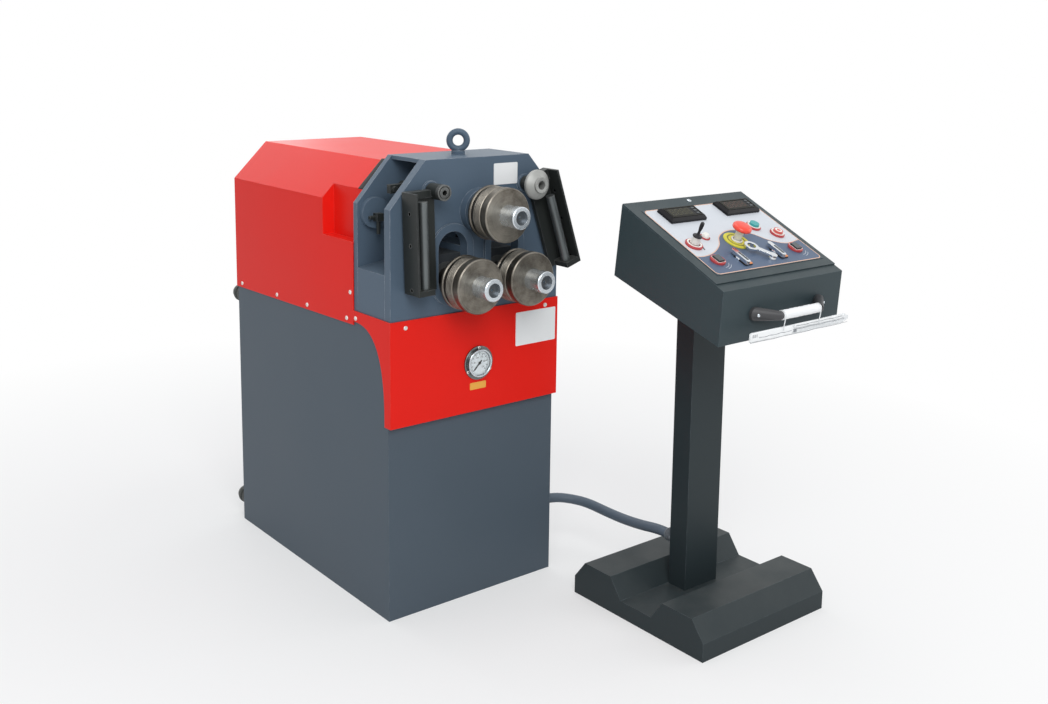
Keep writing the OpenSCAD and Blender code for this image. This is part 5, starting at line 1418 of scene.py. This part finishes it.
class BENDER_OT_pouch(bpy.types.Operator):
    """Paper sleeve on the handle's bar and the folded film pouch that hangs under it"""
    bl_idname = "bender.pouch"
    bl_label = "Document pouch"

    sleeve_start, sleeve_len, sleeve_steps = 0.1645, 0.140, 30
    sleeve_r, sleeve_hole_r = 0.0118, 0.0101
    # Height, turns a step and first turn of the waves in the sleeve
    sleeve_waves = ((0.00025, 1.7, 0), (0.0002, 0.6, 1))
    strap_places = (0.1672, 0.3018)
    strap_half_w, strap_t = 0.0018, 0.0004
    strap_rise, strap_out, strap_turn, strap_steps = 0.0126, 0.0120, 200, 12
    strap_tail = [(0.050, 0.0530), (0.042, 0.0518), (0.030, 0.0515)]
    # Left, right, low, high, height off the console, ripple and phase of each fold
    papers = ((0.0520, 0.2060, 0.0165, 0.0390, 0.0502, 0.0004, 0.4),
              (0.2100, 0.4020, 0.0290, 0.0395, 0.0500, 0.0004, 1.1))
    bag = (0.0490, 0.4220, 0.0150, 0.0400, 0.0486, 0.0005, 2.4)
    fold_steps, fold_sides, fold_half_t = 72, 16, 0.0009
    fold_sway, fold_swings = 0.0006, 5
    fold_square, fold_round = 0.4, 0.8
    # How fast the width grows from each end, and its share at that end
    near_end, far_end = (60, 0.86), (12, 0.35)
    # Turns along a fold, turns across it or of its phase, and share of the height of two ripples
    cross_ripple, long_ripple = (23, 3, 0.5), (61, 2, 0.25)
    print_h, print_t = 0.0511, 0.0002
    # Place and width of the printed bands, and the place and size of the printed patch
    bands = ((0.0585, 0.0030), (0.0640, 0.0016), (0.0680, 0.0024), (0.0730, 0.0012))
    band_v, band_tall, band_corner = 0.0310, 0.0075, 0.0004
    patch_at, patch_size = (0.2130, 0.0228), (0.0110, 0.0060, 0.0010)
    # Height on the face, height off it, left and right end of each seam
    seam_rows = ((0.0158, 0.0513, 0.0510, 0.4190), (0.0272, 0.0513, 0.2040, 0.4060),
                 (0.0255, 0.0514, 0.0800, 0.2000), (0.0345, 0.0514, 0.2150, 0.3960))
    seam_r, seam_sides, seam_steps = 0.0005, 8, 40
    # Height and turns a step of the waves of a seam, and how far each seam starts into its own
    seam_sway, seam_sway_turn, seam_start = 0.0006, 0.5, 40
    seam_lift, seam_lift_turn = 0.0004, 0.9

    def execute(self, context):
        self.sleeve()
        straps = Shape()
        for u in self.strap_places:
            self.strap(straps, u)
        straps.piece("pouch_straps", "Clear film", soft=60, slot="pouch_film")
        papers = Shape()
        for row in self.papers:
            self.fold(papers, *row)
        papers.piece("pouch_papers", "Paper", soft=60, slot="pouch_film")
        self.prints()
        self.seams()
        film = Shape()
        self.fold(film, *self.bag)
        film = film.piece("pouch_film", "Clear film", soft=70, slot="pouch_film")
        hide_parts("document_pouch")
        return {"FINISHED"}

    def sleeve(self):
        """A paper tube round the bar, a little uneven."""
        outer, inner = [], []
        for k in range(self.sleeve_steps + 1):
            u = self.sleeve_start + self.sleeve_len * k / self.sleeve_steps
            swell = sum(high * math.sin(k * turn + first) for high, turn, first in self.sleeve_waves)
            outer.append((self.sleeve_r + swell, u))
            inner.append((self.sleeve_hole_r, u))
        place = on_face(0, *HANDLE_BAR) @ Matrix.Rotation(math.pi / 2, 4, "Y")
        sleeve = Shape().turned(outer + list(reversed(inner)) + [outer[0]], place, steps=40)
        sleeve.piece("pouch_sleeve", "Paper", soft=50, slot="pouch_film")

    def strap(self, shape, u):
        """A thin band over the sleeve and down to the pouch."""
        line = []
        for k in range(self.strap_steps + 1):
            a = math.radians(self.strap_turn - self.strap_turn * k / self.strap_steps)
            line.append((HANDLE_BAR[0] + self.strap_rise * math.sin(a),
                         HANDLE_BAR[1] + self.strap_out * math.cos(a)))
        wide, thick = self.strap_half_w, self.strap_t
        section = ((-wide, 0), (wide, 0), (wide, thick), (-wide, thick))
        rings = [shape.ring([on_face(u + du, v, h + dh).translation for du, dh in section])
                 for v, h in line + self.strap_tail]
        shape.skin(rings)
        shape.close(rings[-1], rings[0])

    def prints(self):
        """Grey bands and a patch on the papers."""
        bands = Shape()
        for u, wide in self.bands:
            bands.prism(round_rect(wide, self.band_tall, self.band_corner, COARSE), 0.0, self.print_t,
                        on_face(u, self.band_v, self.print_h))
        bands.prism(round_rect(*self.patch_size, COARSE), 0.0, self.print_t,
                    on_face(*self.patch_at, self.print_h))
        bands.piece("pouch_bands", "Grey print", slot="pouch_film")

    def seams(self):
        """Welded and folded lines of the film."""
        seams = Shape()
        for v, h, u0, u1 in self.seam_rows:
            run = []
            for k in range(self.seam_steps + 1):
                sway = self.seam_sway * math.sin(self.seam_sway_turn * k + self.seam_start * v)
                lift = self.seam_lift * math.sin(self.seam_lift_turn * k)
                run.append(on_face(u0 + (u1 - u0) * k / self.seam_steps, v + sway, h + lift).translation)
            seams.tube(run, self.seam_r, self.seam_sides)
        seams.piece("pouch_seams", "Grey print", soft=60, slot="pouch_film")

    def fold(self, shape, u0, u1, v0, v1, h, wave, phase):
        """A long flattened bag with soft edges and shallow ripples."""
        rings = []
        for k in range(self.fold_steps + 1):
            s = k / self.fold_steps
            u = u0 + (u1 - u0) * s
            near = self.near_end[0] * s + self.near_end[1]
            far = self.far_end[0] * (1 - s) + self.far_end[1]
            full = min(1.0, near, far)
            centre = (v0 + v1) / 2 + self.fold_sway * math.sin(self.fold_swings * s + phase)
            half = (v1 - v0) / 2 * full
            ring = []
            for a in angles(self.fold_sides):
                across, out = math.cos(a), math.sin(a)
                dv = half * math.copysign(abs(across) ** self.fold_square, across)
                along, aside, share = self.cross_ripple
                ripple = math.sin(along * s + phase + aside * across) * share
                along, aside, share = self.long_ripple
                ripple += math.sin(along * s + aside * phase) * share
                dh = self.fold_half_t * math.copysign(abs(out) ** self.fold_round, out) + wave * ripple
                ring.append(on_face(u, centre + dv, h + dh).translation)
            rings.append(shape.ring(ring))
        shape.skin(rings)
        shape.close(rings[0], rings[-1])


class BENDER_OT_guides(bpy.types.Operator):
    """Domed washer, grooved hub, and rims of the holes of the side guides, with black discs in the holes as
    painted shade
    """
    bl_idname = "bender.guides"
    bl_label = "Guide hardware"

    washer_y, hub_y = -0.482, -0.496
    washer = [(0.0108, -0.0003), (0.0388, -0.0003), (0.0394, 0.0004), (0.0394, 0.0060), (0.0388, 0.0070),
              (0.0362, 0.0094), (0.0331, 0.0119), (0.0290, 0.0146), (0.0240, 0.0174), (0.0213, 0.0188),
              (0.0213, 0.0234), (0.0205, 0.0243), (0.0122, 0.0243), (0.0108, 0.0236), (0.0108, -0.0003)]
    hub = [(0.0068, -0.0120), (0.0068, 0.0003), (0.0134, 0.0004), (0.0139, 0.0), (0.0139, -0.0027),
           (0.0166, -0.0027), (0.0166, 0.0), (0.0170, 0.0004), (0.0195, 0.0004), (0.0203, -0.0004),
           (0.0203, -0.0120), (0.0068, -0.0120)]
    # Name, side, lean in degrees and reach of the outer face from the axis
    sides = (("left", -1, 2.0, 0.089), ("right", 1, 18.5, 0.067))
    hole_y, hole_drop, hole_shares, hole_steps = -0.472, 0.248, (0.18, 0.5, 0.95), 28
    rim_r, rim_hole_r, rim_low, rim_top, rim_edge = 0.0058, 0.0044, -0.0006, 0.0005, 0.0003
    # Black discs sunk in the holes: painted shade for the dark inside of each hole
    plug_r, plug_low, plug_top = 0.0046, -0.0046, -0.0004

    def execute(self, context):
        place = facing((GUIDE_AXIS_X, self.washer_y, GUIDE_AXIS_Z), FORWARD)
        washer = Shape().turned(self.washer, place, steps=64)
        washer.piece("right_guide_washer", "Washer steel", "right_arm", soft=40, slot="roll_steel")
        place = facing((-GUIDE_AXIS_X, self.hub_y, GUIDE_AXIS_Z), FORWARD)
        hub = Shape().turned(self.hub, place, steps=56)
        hub.piece("left_guide_hub", "Hub steel", "left_arm", soft=40, slot="roll_steel")
        for side in self.sides:
            self.holes(*side)
        return {"FINISHED"}

    def holes(self, name, side, lean, reach):
        """A rim in each hole of one guide, and a black disc sunk in it as painted shade."""
        rims, plugs, n = Shape(), Shape(), self.hole_steps
        turn = (Matrix.Translation((side * GUIDE_AXIS_X, 0, GUIDE_AXIS_Z))
                @ Matrix.Rotation(-math.radians(lean), 4, "Y"))
        for share in self.hole_shares:
            place = (turn @ Matrix.Translation((side * reach, self.hole_y, -self.hole_drop * share))
                     @ Matrix.Rotation(side * math.pi / 2, 4, "Y"))
            rims.frame(circle(self.rim_r, n), circle(self.rim_hole_r, n), self.rim_low, self.rim_top, place,
                       self.rim_edge)
            plugs.prism(circle(self.plug_r, n), self.plug_low, self.plug_top, place)
        rims.piece(name + "_guide_rims", "Rim steel", name + "_arm", slot="guide_black")
        plugs.piece(name + "_guide_plugs", "Hole black", name + "_arm", slot="guide_black")


class BENDER_OT_seal(bpy.types.Operator):
    """Black strip between the cover's front edge and the head: painted shade for the dark gap there"""
    bl_idname = "bender.seal"
    bl_label = "Cover seal"

    # Half width and height of the cover's two bends
    foot, shoulder = (0.2363, 1.104), (0.1663, 1.175)
    # Height off the cover and distance behind its front edge, round the strip
    section = ((-0.001, 0.0), (-0.001, 0.026), (0.0024, 0.026), (0.0036, 0.022), (0.0036, 0.002),
               (0.0030, 0.0))

    def execute(self, context):
        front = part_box("top_cover")[0][1]
        (foot_x, foot_z), (bend_x, bend_z) = self.foot, self.shoulder
        edges = []
        for out, back in self.section:
            y = front + back
            step, lean = out * math.sqrt(0.5), out * math.tan(math.pi / 8)
            edges.append([(-foot_x - step, y, foot_z + step), (-bend_x - lean, y, bend_z + out),
                          (bend_x + lean, y, bend_z + out), (foot_x + step, y, foot_z + step)])
        # Painted shade: a black strip stands in for the shade in the gap between the cover and the head
        Shape().bar(edges).piece("cover_seal", "Black rubber", slot="foot_rubber")
        return {"FINISHED"}


class BENDER_OT_rear(bpy.types.Operator):
    """Screwed service panel on the cabinet's rear, and the sheet that closes the console's rear"""
    bl_idname = "bender.rear"
    bl_label = "Rear panels"

    # Width, height and corner radius
    panel = (0.400, 0.520, 0.012)
    panel_z, panel_t, panel_edge = 0.390, 0.0016, 0.0006
    screw_x, screw_lift, screw_rows = 0.186, 0.0015, (0.144, 0.390, 0.636)
    wall_foot, wall_head = Vector((0, -0.699, 0.899)), Vector((0, -0.721, 1.082))
    sheet_gap, sheet_corner, sheet_low, sheet_top, sheet_edge = 0.0006, 0.0008, -0.0002, 0.0010, 0.0004

    def execute(self, context):
        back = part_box("base_cabinet")[1][1]
        panel = Shape()
        panel.prism(round_rect(*self.panel), 0.0, self.panel_t, facing((0, back, self.panel_z), BACKWARD),
                    self.panel_edge)
        panel.piece("rear_panel", "Cabinet paint", slot="cabinet_paint")
        heads = [(Vector((x, back + self.screw_lift, z)), BACKWARD)
                 for x in (-self.screw_x, self.screw_x) for z in self.screw_rows]
        scatter("rear_panel_screws", screw_template(), heads, sizes().screw, "Bright steel")
        low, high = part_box("console_box")
        rise = self.wall_head - self.wall_foot
        centre = (self.wall_head + self.wall_foot) / 2 + Vector(((low[0] + high[0]) / 2, 0, 0))
        wide, tall = high[0] - low[0] - self.sheet_gap, rise.length - self.sheet_gap
        place = facing(centre, (0, rise.z, -rise.y))
        sheet = Shape()
        sheet.prism(round_rect(wide, tall, self.sheet_corner), self.sheet_low, self.sheet_top, place,
                    self.sheet_edge)
        sheet.piece("console_back", "Pedestal paint", slot="pedestal_paint")
        return {"FINISHED"}


class BENDER_OT_fasteners(bpy.types.Operator):
    """Screws of the console's lid and of its handle"""
    bl_idname = "bender.fasteners"
    bl_label = "Console screws"

    lid_at, lid_r, lid_socket = (0.2225, 0.362, 0.004), 0.0062, 0.2
    # Place along the console and sideways lean of each foot's screw
    feet = ((0.1110, -0.61), (0.3580, 0.61))
    foot_lift, foot_r, foot_out = 0.0185, 0.0040, 0.79

    def execute(self, context):
        lid = [(on_panel(*self.lid_at).translation, PANEL.to_3x3() @ Vector(UP))]
        scatter("lid_screw", screw_template(self.lid_socket), lid, self.lid_r, "Bright steel")
        heads = [(on_face(u, HANDLE_BAR[0], self.foot_lift).translation,
                  FACE.to_3x3() @ Vector((lean, 0, self.foot_out))) for u, lean in self.feet]
        scatter("handle_screws", screw_template(), heads, self.foot_r, "Bright steel")
        return {"FINISHED"}


ORDER = ("finishes", "stage", "conduit", "screws", "plates", "gauge", "panel", "readouts", "controls",
         "pouch", "guides", "seal", "rear", "fasteners")


class BENDER_PT_panel(bpy.types.Panel):
    """Lists the sizes, the colours and the steps that dress the bender"""
    bl_idname = "BENDER_PT_panel"
    bl_label = "Angle roll bender"
    bl_space_type = "VIEW_3D"
    bl_region_type = "UI"
    bl_category = "Bender"

    def draw(self, context):
        for group_name in ("bender_sizes", "bender_colours"):
            values = getattr(context.scene, group_name)
            for name in values.__annotations__:
                self.layout.prop(values, name)
        for name in ORDER:
            self.layout.operator("bender." + name)


CLASSES = (BenderColours, BenderSizes, BENDER_OT_stage, BENDER_OT_finishes, BENDER_OT_conduit,
           BENDER_OT_screws, BENDER_OT_plates, BENDER_OT_gauge, BENDER_OT_panel, BENDER_OT_readouts,
           BENDER_OT_controls, BENDER_OT_pouch, BENDER_OT_guides, BENDER_OT_seal, BENDER_OT_rear,
           BENDER_OT_fasteners, BENDER_PT_panel)


def register():
    for cls in CLASSES:
        bpy.utils.register_class(cls)
    bpy.types.Scene.bender_colours = bpy.props.PointerProperty(type=BenderColours)
    bpy.types.Scene.bender_sizes = bpy.props.PointerProperty(type=BenderSizes)


def unregister():
    del bpy.types.Scene.bender_sizes
    del bpy.types.Scene.bender_colours
    for cls in reversed(CLASSES):
        bpy.utils.unregister_class(cls)


def main():
    register()
    for name in ORDER:
        getattr(bpy.ops.bender, name)()


if __name__ == "__main__":
    main()
